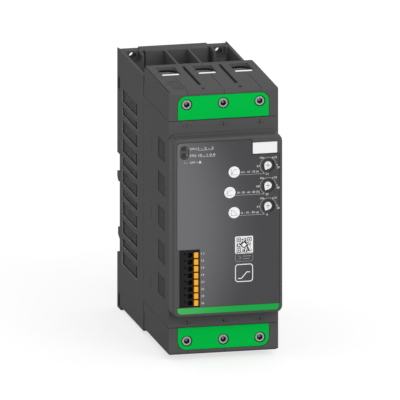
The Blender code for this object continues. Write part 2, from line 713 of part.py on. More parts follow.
def terminal_bar(name, pole, end, way):
    """Flat bar bent twice: clamp end, run towards the back, and foot on the module."""
    run = BAR_HEIGHTS[way > 0]
    outer = run + way * BAR_THICKNESS / 2
    inner = run - way * BAR_THICKNESS / 2
    clamp_end = end - way * BAR_SUNK
    foot_end = outer - way * BAR_FOOT
    behind = BAR_FRONT + BAR_THICKNESS
    foot = BAR_FOOT_BACK - BAR_THICKNESS
    outline = [
        (BAR_FRONT, clamp_end), (BAR_FRONT, inner), (foot, inner), (foot, foot_end),
        (BAR_FOOT_BACK, foot_end), (BAR_FOOT_BACK, outer), (behind, outer), (behind, clamp_end),
    ]
    bm = bmesh.new()
    prism(bm, outline, "X", pole - BAR_HALF_WIDTH, pole + BAR_HALF_WIDTH)
    tip = [vert for vert in bm.verts if abs(vert.co.z - clamp_end) < GAP]
    corners = [edge for edge in bm.edges
               if all(vert in tip for vert in edge.verts) and edge.verts[0].co.x == edge.verts[1].co.x]
    bmesh.ops.bevel(bm, geom=corners, offset=BAR_CORNER_RADIUS, segments=3, profile=0.5, affect="EDGES")
    return piece(name, bm, TINNED)


def current_transformer(name, pole):
    """Ring of square section round the lower bar, with a flat window for it."""
    height = BAR_HEIGHTS[0]
    front = SECTION_Y - RING_MARGIN
    bm = bmesh.new()
    prism(bm, circle(pole, height, RING_RADIUS, WELL_SIDES), "Y", front, front + RING_DEPTH)
    ring = piece(name, bm, BLACK)
    bm = bmesh.new()
    half_width = BAR_HALF_WIDTH + RING_CLEARANCE
    half_height = BAR_THICKNESS / 2 + RING_CLEARANCE
    box(bm, (pole - half_width, pole + half_width), (front - OVERCUT, front + RING_DEPTH + OVERCUT),
        (height - half_height, height + half_height))
    cut(ring, bm, "bar_window")
    return ring


# Boards and relays, between the runs of the lower and the upper bars

BOARD_Y = SECTION_Y - POWER_BOARD_MARGIN
BOARD_Z = (BAR_HEIGHTS[0] + BAR_THICKNESS / 2 + BOARD_BAR_CLEARANCE,
           BAR_HEIGHTS[1] - BAR_THICKNESS / 2 - BOARD_BAR_CLEARANCE)


def power_board():
    edge = HALF - SIDE_WALL - GAP
    bm = bmesh.new()
    box(bm, (-edge, edge), (BOARD_Y, BOARD_Y + BOARD_THICKNESS), BOARD_Z)
    return piece("power_board", bm, BOARD)


def bypass_relay(name, pole):
    back = BOARD_Y - GAP
    reach = RING_RADIUS + RELAY_RING_CLEARANCE
    heights = (BAR_HEIGHTS[0] + reach, BAR_HEIGHTS[1] - reach)
    bm = bmesh.new()
    width = (pole - RELAY_HALF_WIDTH, pole + RELAY_HALF_WIDTH)
    outline = rounded_box(width, heights, RELAY_EDGE, 1)
    prism(bm, outline, "Y", back - RELAY_DEPTH, back)
    return piece(name, bm, WHITE)


# Front section: a box open to the rear, with vents in its sides and a shelf at each end

def front_housing():
    low, high = LOWER_SEAM + GAP, UPPER_SEAM - GAP
    inside = HALF - SIDE_WALL
    bm = bmesh.new()
    box(bm, (-HALF, HALF), (FACE_Y, SECTION_Y), (low, high))
    shell = piece("front_housing", bm, HOUSING_GREY)

    bm = bmesh.new()
    box(bm, (-inside, inside), (FACE_Y + FACE_WALL, SECTION_Y + OVERCUT), (low + SHELF, high - SHELF))
    cut(shell, bm, "hollow")

    bm = bmesh.new()
    for pole in POLES:
        width = (pole - BAR_HALF_WIDTH - GAP, pole + BAR_HALF_WIDTH + GAP)
        depth = (BAR_FRONT - GAP, BAR_FRONT + BAR_THICKNESS + GAP)
        box(bm, width, depth, (low - OVERCUT, low + SHELF + OVERCUT))
        box(bm, width, depth, (high - SHELF - OVERCUT, high + OVERCUT))
    # Opening behind the bezel, through which the two boards are linked
    box(bm, (-POLE_PITCH, POLE_PITCH), (FACE_Y - OVERCUT, FACE_Y + FACE_WALL + OVERCUT), BOARD_Z)
    cut(shell, bm, "bar_slots_and_link")

    vents, slots, latches = bmesh.new(), bmesh.new(), bmesh.new()
    near, far = FACE_Y + FRONT_VENT_Y, FACE_Y + FRONT_VENT_Y + FRONT_VENT_WIDTH
    tops = front_vent_tops()
    for side in SIDES.values():
        outside = side * (HALF + OVERCUT)
        for top in tops:
            heights = (top - FRONT_VENT_HEIGHT, top)
            box(vents, (side * (HALF - FRONT_VENT_RECESS), outside), (near, far), heights)
            for slot in range(FRONT_VENT_SLOTS):
                start = near + (FRONT_VENT_WIDTH - FRONT_VENT_SLOT) * slot / (FRONT_VENT_SLOTS - 1)
                box(slots, (side * (inside - OVERCUT), outside), (start, start + FRONT_VENT_SLOT), heights)

        # Latch marks, one beside every other vent, and a nick at each seam
        depth = (side * (HALF - LATCH_DEPTH), outside)
        middle = SECTION_Y - LATCH_MARGIN
        pit = (middle - LATCH_PIT / 2, middle + LATCH_PIT / 2)
        line = (middle - LATCH_WIDTH / 2, middle + LATCH_WIDTH / 2)
        for vent_top in tops[::2]:
            top = vent_top - (LATCH_TOP - FRONT_VENT_TOP)
            box(latches, depth, line, (top - LATCH_HEIGHT, top))
            box(latches, depth, pit, (top + LATCH_PIT_RISE, top + LATCH_PIT_RISE + LATCH_PIT))
            box(latches, depth, pit, (top - LATCH_HEIGHT - GAP - LATCH_PIT, top - LATCH_HEIGHT - GAP))
        box(latches, depth, pit, (high - LATCH_PIT, high + OVERCUT))
        box(latches, depth, pit, (low - OVERCUT, low + LATCH_PIT))
    cut(shell, vents, "vent_fields")
    cut(shell, slots, "vent_slots")
    cut(shell, latches, "latch_marks")
    return shell


def front_vent_tops():
    """Heights of the vents' upper edges, spaced evenly between the two margins."""
    first = FRONT_TOP - FRONT_VENT_TOP
    last = FRONT_BOTTOM + FRONT_VENT_BOTTOM + FRONT_VENT_HEIGHT
    pitch = (first - last) / (FRONT_VENT_COUNT - 1)
    return [first - vent * pitch for vent in range(FRONT_VENT_COUNT)]


# Terminal covers, one at each end, with a chamber for each pole

def terminal_cover(name, end, seam, way):
    back = SECTION_Y - COVER_SETBACK
    ceiling = end - way * END_WALL
    profile = rounded([(FACE_Y, seam, 0), (back, seam, 0), (back, end, 0),
                       (FACE_Y, end, COVER_EDGE_RADIUS)])
    bm = bmesh.new()
    prism(bm, profile, "X", -HALF, HALF)
    cover = piece(f"{name}_terminal_cover", bm, HOUSING_GREY)

    # Chambers between the side walls and the two barriers
    walls = [-HALF + SIDE_WALL]
    for barrier in BARRIERS:
        walls += [barrier - BARRIER / 2, barrier + BARRIER / 2]
    walls.append(HALF - SIDE_WALL)
    bm = bmesh.new()
    for left, right in zip(walls[::2], walls[1::2]):
        box(bm, (left, right), (FACE_Y + FACE_WALL, back - SIDE_WALL), (seam - way * OVERCUT, ceiling))
    cut(cover, bm, "chambers")

    # Each cable entry is a shallow rectangle over an opening with an arched rear side
    front, rear = ENTRY_FRONT_Y, ENTRY_BACK_Y
    outside = end + way * OVERCUT
    bm = bmesh.new()
    for pole in POLES:
        width = (pole - ENTRY_HALF_WIDTH, pole + ENTRY_HALF_WIDTH)
        box(bm, width, (front, rear), (end - way * ENTRY_STEP, outside))
    for barrier in BARRIERS:
        slit = (barrier - SLIT_WIDTH / 2, barrier + SLIT_WIDTH / 2)
        box(bm, slit, (FACE_Y + SLIT_FRONT, SECTION_Y - SLIT_MARGIN), (end - way * SLIT_DEPTH, outside))
        peg = (barrier - PEG_HOLE_WIDTH / 2, barrier + PEG_HOLE_WIDTH / 2)
        peg_y = FACE_Y + PEG_HOLE_FRONT
        box(bm, peg, (peg_y, peg_y + PEG_HOLE_LENGTH), (end - way * PEG_HOLE_DEPTH, outside))
    cut(cover, bm, "entry_steps_and_slits")

    # A fine groove runs from each entry over the front edge down to the strip
    inner_y, inner_z = FACE_Y + GROOVE_DEPTH, end - way * GROOVE_DEPTH
    foot = end - way * STRIP_END_MARGIN
    path = rounded([
        (front, inner_z, 0), (inner_y, inner_z, COVER_EDGE_RADIUS - GROOVE_DEPTH), (inner_y, foot, 0),
        (FACE_Y - OVERCUT, foot, 0), (FACE_Y - OVERCUT, outside, 0), (front, outside, 0),
    ])
    bm = bmesh.new()
    for pole in POLES:
        groove = pole + GROOVE_OFFSET
        prism(bm, path, "X", groove - GROOVE_WIDTH / 2, groove + GROOVE_WIDTH / 2)
    cut(cover, bm, "grooves")

    # Along both upper side edges a rabbet, and a notch at the rear corner under it
    rabbets, notches = bmesh.new(), bmesh.new()
    for side in SIDES.values():
        beyond = side * (HALF + OVERCUT)
        box(rabbets, (side * (HALF - RABBET_WIDTH), beyond), (FACE_Y - OVERCUT, back + OVERCUT),
            (end - way * RABBET_DEPTH, outside))
        box(notches, (side * (HALF - CORNER_NOTCH_WIDTH), beyond), (back - CORNER_NOTCH_DEPTH, back + OVERCUT),
            (end - way * CORNER_NOTCH_HEIGHT, outside))
    cut(cover, rabbets, "rabbets")
    cut(cover, notches, "corner_notches")

    radius = (ENTRY_HALF_WIDTH ** 2 + ENTRY_ARCH ** 2) / (2 * ENTRY_ARCH)
    reach = math.asin(ENTRY_HALF_WIDTH / radius)
    bm = bmesh.new()
    for pole in POLES:
        arch = [(pole - ENTRY_HALF_WIDTH, front), (pole + ENTRY_HALF_WIDTH, front)]
        for step in range(7):
            turn = reach * (1 - step / 3)
            arch.append((pole + radius * math.sin(turn), rear + radius * (math.cos(turn) - 1)))
        prism(bm, arch, "Z", *sorted((ceiling - way * OVERCUT, outside)))
        screw_hole = circle(pole, end - way * SCREW_INSET, SCREW_RADIUS + GAP, SHAFT_SIDES)
        prism(bm, screw_hole, "Y", FACE_Y - OVERCUT, FACE_Y + FACE_WALL + OVERCUT)
    cut(cover, bm, "entries_and_screw_holes")

    bm = bmesh.new()
    seat = strip_outline(seam - way * OVERCUT, end - way * (STRIP_END_MARGIN - GAP), GAP)
    prism(bm, seat, "Y", FACE_Y - OVERCUT, FACE_Y + STRIP_THICKNESS + GAP)
    cut(cover, bm, "strip_seat")
    return cover


def strip_outline(inner, outer, margin):
    """Green strip: square at the seam, round at its outer corners."""
    half = STRIP_HALF_WIDTH + margin
    return rounded([(-half, inner, 0), (half, inner, 0), (half, outer, STRIP_RADIUS),
                    (-half, outer, STRIP_RADIUS)], 5)


def green_strip(name, end, seam, way):
    bm = bmesh.new()
    outline = strip_outline(seam + way * GAP, end - way * STRIP_END_MARGIN, 0)
    prism(bm, outline, "Y", FACE_Y, FACE_Y + STRIP_THICKNESS)
    strip = piece(f"{name}_green_strip", bm, GREEN)
    bm = bmesh.new()
    for pole in POLES:
        hole = circle(pole, end - way * SCREW_INSET, SCREW_RADIUS + GAP, SHAFT_SIDES)
        prism(bm, hole, "Y", FACE_Y - OVERCUT, FACE_Y + STRIP_THICKNESS + OVERCUT)
    cut(strip, bm, "screw_holes")
    return strip


def terminal_screw(name, pole, end, way):
    """Long socket screw, kept in by a collar behind the cover's face and by the bar's front."""
    height = end - way * SCREW_INSET
    head = SCREW_RECESS
    collar = FACE_WALL + GAP
    tip = ENTRY_FRONT_Y - FACE_Y
    chamfer = SCREW_RECESS
    profile = [
        (0, head), (SCREW_RADIUS - chamfer, head), (SCREW_RADIUS, head + chamfer),
        (SCREW_RADIUS, collar), (COLLAR_RADIUS, collar), (COLLAR_RADIUS, collar + COLLAR_THICKNESS),
        (SCREW_RADIUS, collar + COLLAR_THICKNESS), (SCREW_RADIUS, tip - chamfer),
        (SCREW_RADIUS - chamfer, tip), (0, tip),
    ]
    origin = (pole, FACE_Y, height)
    bm = bmesh.new()
    turned(bm, profile, origin, SHAFT_SIDES)
    screw = piece(name, bm, STEEL, origin)
    bm = bmesh.new()
    hexagon = circle(pole, height, SOCKET_ACROSS_FLATS / math.sqrt(3), 6)
    prism(bm, hexagon, "Y", FACE_Y - OVERCUT, FACE_Y + head + SOCKET_DEPTH)
    cut(screw, bm, "socket")
    return screw


def clamp_cage(name, pole, end, way):
    """Rectangular frame round the bar, threaded in front for the screw."""
    height = end - way * SCREW_INSET
    front, rear = ENTRY_FRONT_Y - CAGE_FRONT, ENTRY_BACK_Y - CAGE_SHORTER + CAGE_BACK
    heights = (height - CAGE_HEIGHT / 2, height + CAGE_HEIGHT / 2)
    outer = rounded_box((pole - CAGE_HALF_WIDTH, pole + CAGE_HALF_WIDTH), (front, rear), CAGE_SIDE, 2)
    bm = bmesh.new()
    prism(bm, outer, "Z", *heights)
    cage = piece(name, bm, STEEL, (pole, front, height))
    bm = bmesh.new()
    inner_half = CAGE_HALF_WIDTH - CAGE_SIDE
    box(bm, (pole - inner_half, pole + inner_half), (front + CAGE_FRONT, rear - CAGE_BACK),
        (heights[0] - OVERCUT, heights[1] + OVERCUT))
    cut(cage, bm, "conductor_space")
    bm = bmesh.new()
    thread = circle(pole, height, SCREW_RADIUS + GAP, SHAFT_SIDES)
    prism(bm, thread, "Y", front - OVERCUT, front + CAGE_FRONT + OVERCUT)
    cut(cage, bm, "thread")
    return cage


# Bezel: a deep lid with round corners, and the pieces set into its face

BEZEL_LOW = FRONT_BOTTOM + BEZEL_BOTTOM
BEZEL_HIGH = FRONT_TOP - BEZEL_TOP
PANEL_FRONT = BEZEL_Y
PANEL_TOP = BEZEL_HIGH - PANEL_TOP_MARGIN
STRIPE_LOW = BEZEL_LOW + STRIPE_MARGIN
STRIPE_HIGH = STRIPE_LOW + STRIPE_HEIGHT
CONNECTOR_LOW = BEZEL_LOW + CONNECTOR_BOTTOM_MARGIN
CONNECTOR_HIGH = CONNECTOR_LOW + CONNECTOR_HEIGHT
LABEL_HIGH = BEZEL_HIGH - LABEL_TOP_MARGIN
LABEL_LOW = LABEL_HIGH - LABEL_HEIGHT
WINDOW_HIGH = BEZEL_HIGH - WINDOW_TOP_MARGIN
WINDOW_LOW = WINDOW_HIGH - WINDOW_HEIGHT
KNOBS = [BEZEL_HIGH - KNOB_TOP_MARGIN - index * KNOB_PITCH for index in range(KNOB_COUNT)]
CONTROL_BOARD_Y = FACE_Y - CONTROL_BOARD_SETBACK - BOARD_THICKNESS
INNER_FACE_Y = BEZEL_Y + BEZEL_FACE


def window_outline(margin):
    width = WINDOW_WIDTH / 2 + margin
    heights = (WINDOW_LOW - margin, WINDOW_HIGH + margin)
    return rounded_box((WINDOW_X - width, WINDOW_X + width), heights, WINDOW_RADIUS + margin, 3)


def panel_outline(margin):
    """Panel film: the field inside the bezel without the connector's and the label's corners."""
    label_x = LABEL_LEFT - LABEL_FRAME - 2 * GAP + margin
    label_z = LABEL_LOW - LABEL_FRAME - 2 * GAP + margin
    left, right = PANEL_LEFT - margin, PANEL_RIGHT + margin
    low, top = STRIPE_HIGH + GAP - margin, PANEL_TOP + margin
    notch_x, notch_z = CONNECTOR_RIGHT + GAP - margin, CONNECTOR_HIGH + 2 * GAP - margin
    return rounded([
        (notch_x, low, 0), (right, low, 0), (right, label_z, 0), (label_x, label_z, 0),
        (label_x, top, 0), (left, top, PANEL_RADIUS + margin), (left, notch_z, 0),
        (notch_x, notch_z, 0),
    ], 3)


def stripe_outline(margin):
    left, right = PANEL_LEFT - margin, PANEL_RIGHT + margin
    low, high = STRIPE_LOW - margin, STRIPE_HIGH + margin
    radius = STRIPE_RADIUS + margin
    return rounded([(left, low, radius), (right, low, radius), (right, high, 0), (left, high, 0)], 4)


def front_bezel():
    """Lid with a rounded front edge, whose foot flares out above and below to meet the face."""
    bm = bmesh.new()
    outline = rounded_box((-HALF, HALF), (BEZEL_LOW, BEZEL_HIGH), BEZEL_RADIUS, 4)
    ring, waist = prism(bm, outline, "Y", BEZEL_Y, FACE_Y - GAP - BEZEL_FLARE_DEPTH)
    back_face = [face for face in bm.faces if all(vert in waist for vert in face.verts)]
    swept = bmesh.ops.extrude_face_region(bm, geom=back_face)
    bmesh.ops.delete(bm, geom=back_face, context="FACES_ONLY")
    middle = (BEZEL_LOW + BEZEL_HIGH) / 2
    spread = 1 + 2 * BEZEL_FLARE / (BEZEL_HIGH - BEZEL_LOW)
    for item in swept["geom"]:
        if isinstance(item, bmesh.types.BMVert):
            item.co.y = FACE_Y - GAP
            item.co.z = middle + (item.co.z - middle) * spread
    rim = [edge for edge in bm.edges if all(vert in ring for vert in edge.verts)]
    bmesh.ops.bevel(bm, geom=rim, offset=BEZEL_EDGE, segments=2, profile=0.5, affect="EDGES")
    bezel = piece("front_bezel", bm, HOUSING_GREY)

    bm = bmesh.new()
    inner = rounded_box((-HALF + SIDE_WALL, HALF - SIDE_WALL),
                        (BEZEL_LOW + SIDE_WALL, BEZEL_HIGH - SIDE_WALL), BEZEL_RADIUS - SIDE_WALL, 2)
    prism(bm, inner, "Y", INNER_FACE_Y, FACE_Y + OVERCUT)
    cut(bezel, bm, "hollow")

    bm = bmesh.new()
    prism(bm, panel_outline(GAP), "Y", BEZEL_Y - OVERCUT, BEZEL_Y + PANEL_RECESS)
    cut(bezel, bm, "panel_seat")
    bm = bmesh.new()
    prism(bm, stripe_outline(GAP), "Y", BEZEL_Y - OVERCUT, BEZEL_Y + PANEL_RECESS)
    cut(bezel, bm, "stripe_seat")

    # Each knob lies in a round well, and its spindle passes through the well's floor
    wells, openings = bmesh.new(), bmesh.new()
    through = (BEZEL_Y - OVERCUT, INNER_FACE_Y + OVERCUT)
    floor = BEZEL_Y + KNOB_SUNK + KNOB_THICKNESS + GAP
    for height in KNOBS:
        prism(wells, circle(KNOB_X, height, KNOB_WELL_RADIUS + GAP, WELL_SIDES), "Y", through[0], floor)
        prism(openings, circle(KNOB_X, height, SPINDLE_RADIUS + GAP, PIN_SIDES), "Y", *through)
    prism(openings, window_outline(GAP), "Y", *through)
    box(openings, (CONNECTOR_LEFT - GAP, CONNECTOR_RIGHT + GAP / 2), through,
        (CONNECTOR_LOW - GAP, CONNECTOR_HIGH + GAP / 2))
    cut(bezel, wells, "knob_wells")
    cut(bezel, openings, "front_openings")

    pocket, notch = bmesh.new(), bmesh.new()
    box(pocket, (LABEL_LEFT - GAP, LABEL_RIGHT + GAP), (BEZEL_Y - OVERCUT, BEZEL_Y + LABEL_POCKET),
        (LABEL_LOW - GAP, LABEL_HIGH + GAP))
    box(notch, (NOTCH_LEFT, NOTCH_LEFT + NOTCH_WIDTH), (BEZEL_Y - OVERCUT, BEZEL_Y + PANEL_RECESS),
        (LABEL_LOW - NOTCH_HEIGHT, LABEL_LOW))
    cut(bezel, pocket, "label_pocket")
    cut(bezel, notch, "label_notch")
    return bezel


def front_panel():
    bm = bmesh.new()
    prism(bm, panel_outline(0), "Y", PANEL_FRONT, PANEL_FRONT + PANEL_THICKNESS)
    panel = piece("front_panel_film", bm, PANEL_GREY)
    bm = bmesh.new()
    through = (PANEL_FRONT - OVERCUT, PANEL_FRONT + PANEL_THICKNESS + OVERCUT)
    for height in KNOBS:
        prism(bm, circle(KNOB_X, height, KNOB_WELL_RADIUS, WELL_SIDES), "Y", *through)
    prism(bm, window_outline(0), "Y", *through)
    cut(panel, bm, "openings")
    return panel


def green_stripe():
    bm = bmesh.new()
    prism(bm, stripe_outline(0), "Y", PANEL_FRONT, PANEL_FRONT + PANEL_THICKNESS)
    return piece("front_green_stripe", bm, GREEN)


def label_plate():
    bm = bmesh.new()
    front = BEZEL_Y + GAP
    outline = rounded_box((LABEL_LEFT, LABEL_RIGHT), (LABEL_LOW, LABEL_HIGH), GAP, 2)
    prism(bm, outline, "Y", front, front + LABEL_THICKNESS)
    return piece("label_plate", bm, WHITE)


def light_guide():
    """Smoked window with two lenses, on a light pipe down to the control board."""
    front = BEZEL_Y + 2 * GAP
    bm = bmesh.new()
    prism(bm, window_outline(-GAP), "Y", front, CONTROL_BOARD_Y - GAP)
    guide = piece("status_light_guide", bm, SMOKE)
    bm = bmesh.new()
    for way in (-1, 1):
        height = (WINDOW_LOW + WINDOW_HIGH) / 2 + way * LENS_PITCH / 2
        lens = circle(WINDOW_X + LENS_OFFSET, height, LENS_RADIUS, SHAFT_SIDES)
        prism(bm, lens, "Y", front - LENS_RISE, front + OVERCUT)
    add(guide, bm, "lenses")
    return guide


def control_board():
    edge = HALF - SIDE_WALL - GAP
    heights = (BEZEL_LOW + SIDE_WALL + GAP, BEZEL_HIGH - SIDE_WALL - GAP)
    outline = rounded_box((-edge, edge), heights, BEZEL_RADIUS - SIDE_WALL, 2)
    bm = bmesh.new()
    prism(bm, outline, "Y", CONTROL_BOARD_Y, CONTROL_BOARD_Y + BOARD_THICKNESS)
    return piece("control_board", bm, BOARD)


# Adjusting knobs on their potentiometers

def knob_outline(centre_z):
    """Round head drawn out to a beak that points at the scale."""
    spread = math.acos(KNOB_RADIUS / KNOB_BEAK)
    points = []
    for step in range(KNOB_STEPS + 1):
        turn = spread + (math.tau - 2 * spread) * step / KNOB_STEPS
        angle = KNOB_BEAK_ANGLE + turn
        points.append((KNOB_X + KNOB_RADIUS * math.sin(angle), centre_z + KNOB_RADIUS * math.cos(angle)))
    points.append((KNOB_X + KNOB_BEAK * math.sin(KNOB_BEAK_ANGLE),
                   centre_z + KNOB_BEAK * math.cos(KNOB_BEAK_ANGLE)))
    return points


def knob(name, height):
    front = BEZEL_Y + KNOB_SUNK
    back = front + KNOB_THICKNESS
    bm = bmesh.new()
    prism(bm, knob_outline(height), "Y", front, back)
    made = piece(name, bm, WHITE, (KNOB_X, front, height))
    bm = bmesh.new()
    prism(bm, circle(KNOB_X, height, SPINDLE_RADIUS, PIN_SIDES), "Y", back - OVERCUT, back + SPINDLE_LENGTH)
    add(made, bm, "spindle")
    return made


def potentiometer(name, height):
    front = INNER_FACE_Y + GAP
    half = POTENTIOMETER_SIDE / 2
    bm = bmesh.new()
    box(bm, (KNOB_X - half, KNOB_X + half), (front, CONTROL_BOARD_Y - GAP), (height - half, height + half))
    body = piece(name, bm, BLACK)
    bm = bmesh.new()
    bottom = BEZEL_Y + KNOB_SUNK + KNOB_THICKNESS + SPINDLE_LENGTH + GAP
    prism(bm, circle(KNOB_X, height, SPINDLE_RADIUS + GAP, PIN_SIDES), "Y", front - OVERCUT, bottom)
    cut(body, bm, "spindle_bore")
    return body


# Control connector: spring-clamp contacts in a column, each with a release lever

CONTACTS = [CONNECTOR_LOW + FIRST_CONTACT + index * CONTACT_PITCH for index in range(CONTACT_COUNT)]
CONNECTOR_Y = BEZEL_Y + CONNECTOR_SUNK
LEVER_Y = BEZEL_Y + LEVER_SUNK
LEVER_RIGHT = LEVER_LEFT + LEVER_WIDTH


def control_connector():
    bm = bmesh.new()
    outline = rounded([
        (CONNECTOR_LEFT, CONNECTOR_LOW, 0), (CONNECTOR_RIGHT, CONNECTOR_LOW, CONNECTOR_RADIUS),
        (CONNECTOR_RIGHT, CONNECTOR_HIGH, CONNECTOR_RADIUS), (CONNECTOR_LEFT, CONNECTOR_HIGH, 0),
    ], 2)
    prism(bm, outline, "Y", CONNECTOR_Y, CONTROL_BOARD_Y - GAP)
    body = piece("control_connector", bm, BLACK)

    bm = bmesh.new()
    slot_end = LEVER_Y + LEVER_LENGTH + LEVER_TRAVEL + GAP
    reach = LEVER_HEIGHT / 2 + GAP
    box(bm, (LEVER_LEFT - GAP, LEVER_RIGHT + GAP), (CONNECTOR_Y - OVERCUT, slot_end),
        (CONTACTS[0] - reach, CONTACTS[-1] + reach))
    for height in CONTACTS:
        wire = circle(WIRE_HOLE_X, height, WIRE_HOLE_RADIUS, PIN_SIDES)
        prism(bm, wire, "Y", CONNECTOR_Y - OVERCUT, CONNECTOR_Y + WIRE_HOLE_DEPTH)
        test = circle(TEST_HOLE_X, height + TEST_HOLE_RISE, TEST_HOLE_RADIUS, 6)
        prism(bm, test, "Y", CONNECTOR_Y - OVERCUT, CONNECTOR_Y + TEST_HOLE_DEPTH)
    cut(body, bm, "lever_slot_and_holes")
    return body


def release_lever(name, height):
    """Push lever with a small nick in its lower edge for the screwdriver."""
    half = LEVER_HEIGHT / 2
    middle = (LEVER_LEFT + LEVER_RIGHT) / 2
    nick = LEVER_NOTCH / 2
    outline = [
        (LEVER_LEFT, height - half), (middle - nick, height - half), (middle, height - half + nick),
        (middle + nick, height - half), (LEVER_RIGHT, height - half), (LEVER_RIGHT, height + half),
        (LEVER_LEFT, height + half),
    ]
    bm = bmesh.new()
    prism(bm, outline, "Y", LEVER_Y, LEVER_Y + LEVER_LENGTH)
    return piece(name, bm, ORANGE, (middle, LEVER_Y, height))


# Assembly

base_plate()
rail_clip()
rear_housing()
heat_sink()
front_housing()
power_board()
control_board()
front_bezel()
front_panel()
green_stripe()
label_plate()
light_guide()
control_connector()

for end_name, (end_plane, seam_plane, outwards) in ENDS.items():
    terminal_cover(end_name, end_plane, seam_plane, outwards)
    green_strip(end_name, end_plane, seam_plane, outwards)
    for number, pole_x in enumerate(POLES, 1):
        terminal_bar(f"{end_name}_bar_{number}", pole_x, end_plane, outwards)
        clamp_cage(f"{end_name}_clamp_cage_{number}", pole_x, end_plane, outwards)
        terminal_screw(f"{end_name}_terminal_screw_{number}", pole_x, end_plane, outwards)

for number, pole_x in enumerate(POLES, 1):
    thyristor_module(f"thyristor_module_{number}", pole_x)
    bypass_relay(f"bypass_relay_{number}", pole_x)

for number, pole_x in ((1, POLES[0]), (3, POLES[-1])):
    current_transformer(f"current_transformer_{number}", pole_x)

for number, knob_z in enumerate(KNOBS, 1):
    knob(f"knob_{number}", knob_z)
    potentiometer(f"potentiometer_{number}", knob_z)

for number, contact_z in enumerate(reversed(CONTACTS), 1):
    release_lever(f"release_lever_{number}", contact_z)
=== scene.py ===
"""Dresses a three-pole soft starter: moulded plastic housings, a printed panel, screws and levers.

Every size is in metres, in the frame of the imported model: X to the right, Y to the back, Z up.
"""

import math

import bpy
import numpy as np
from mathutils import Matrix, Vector


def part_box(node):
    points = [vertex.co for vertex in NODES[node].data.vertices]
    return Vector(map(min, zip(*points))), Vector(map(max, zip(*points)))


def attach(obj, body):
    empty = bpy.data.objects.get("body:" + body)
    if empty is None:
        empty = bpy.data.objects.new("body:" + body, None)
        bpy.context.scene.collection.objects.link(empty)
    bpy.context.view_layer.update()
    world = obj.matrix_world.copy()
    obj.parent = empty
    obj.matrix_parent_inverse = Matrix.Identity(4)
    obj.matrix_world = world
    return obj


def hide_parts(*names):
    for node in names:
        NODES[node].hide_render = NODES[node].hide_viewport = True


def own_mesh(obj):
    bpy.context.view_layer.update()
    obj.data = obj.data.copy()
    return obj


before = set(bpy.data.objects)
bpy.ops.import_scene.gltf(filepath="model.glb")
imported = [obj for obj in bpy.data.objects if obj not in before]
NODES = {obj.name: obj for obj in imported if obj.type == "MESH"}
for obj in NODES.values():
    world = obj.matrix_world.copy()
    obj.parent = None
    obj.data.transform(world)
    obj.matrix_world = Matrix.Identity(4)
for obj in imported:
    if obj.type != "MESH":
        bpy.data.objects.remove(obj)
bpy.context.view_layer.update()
scene = bpy.context.scene


# View. The photograph is a parallel view from the left front and a little above, and its middle
# lies on the device's centre line at half height.

PIXELS = 400
PIXELS_PER_METRE = 1388
VIEW_TURN = math.radians(-12.88)
VIEW_RISE = math.radians(14.23)
AIM = Vector((0.00004, 0.0, 0.09912))

away = Vector((math.sin(VIEW_TURN) * math.cos(VIEW_RISE),
               -math.cos(VIEW_TURN) * math.cos(VIEW_RISE),
               math.sin(VIEW_RISE)))
lens = bpy.data.cameras.new("view")
lens.type = "ORTHO"
lens.ortho_scale = PIXELS / PIXELS_PER_METRE
lens.clip_end = 20.0
camera = bpy.data.objects.new("view", lens)
camera.location = AIM + away
camera.rotation_euler = (-away).to_track_quat("-Z", "Y").to_euler()
scene.collection.objects.link(camera)
scene.camera = camera
scene.view_settings.view_transform = "Standard"


# Table and light. The device stands on a pale table under a large soft lamp in front of it, in
# a bright room, so that its shadow is faint. Table and room show white, and light it less.

def node_material(name):
    """Material with a Principled shader, and its node tree, links and shader."""
    made = bpy.data.materials.new(name)
    made.use_nodes = True
    tree = made.node_tree
    return made, tree, tree.nodes["Principled BSDF"]


def math_node(tree, operation, *values, clamp=False):
    """Math node on one or two sockets or numbers, and its result."""
    node = tree.nodes.new("ShaderNodeMath")
    node.operation = operation
    node.use_clamp = clamp
    for socket, value in zip(node.inputs, values):
        if isinstance(value, (int, float)):
            socket.default_value = value
        else:
            tree.links.new(value, socket)
    return node.outputs[0]


def ray_shows_background(tree):
    """1 for rays from the camera, off gloss or through glass, and 0 for those that only light."""
    rays = tree.nodes.new("ShaderNodeLightPath").outputs
    direct = math_node(tree, "MAXIMUM", rays["Is Camera Ray"], rays["Is Glossy Ray"])
    return math_node(tree, "MAXIMUM", direct, rays["Is Transmission Ray"])


def mesh_piece(name, points, faces, material):
    """Object at the origin from an array of points and the faces between them."""
    mesh = bpy.data.meshes.new(name)
    mesh.from_pydata(np.asarray(points, float).tolist(), [], [list(face) for face in faces])
    mesh.materials.append(material)
    mesh.update()
    made = bpy.data.objects.new(name, mesh)
    scene.collection.objects.link(made)
    return made


TABLE_HALF = 4.0
TABLE_WHITE = 0.45
TABLE_GLOW = 0.68

table_white, tree, shader = node_material("table_white")
shader.inputs["Base Color"].default_value = (TABLE_WHITE, TABLE_WHITE, TABLE_WHITE, 1.0)
shader.inputs["Roughness"].default_value = 0.8
shader.inputs["Specular IOR Level"].default_value = 0.0
shader.inputs["Emission Color"].default_value = (1.0, 1.0, 1.0, 1.0)
glow = math_node(tree, "MULTIPLY", ray_shows_background(tree), TABLE_GLOW)
tree.links.new(glow, shader.inputs["Emission Strength"])

corners = np.array([(-1, -1, 0), (1, -1, 0), (1, 1, 0), (-1, 1, 0)]) * TABLE_HALF
table = mesh_piece("table", corners, [(0, 1, 2, 3)], table_white)

ROOM_LIGHT = 0.62
KEY_STRENGTH = 1.55
KEY_SPREAD = math.radians(60)
KEY_FROM = Vector((0.25, -1.0, 0.42))

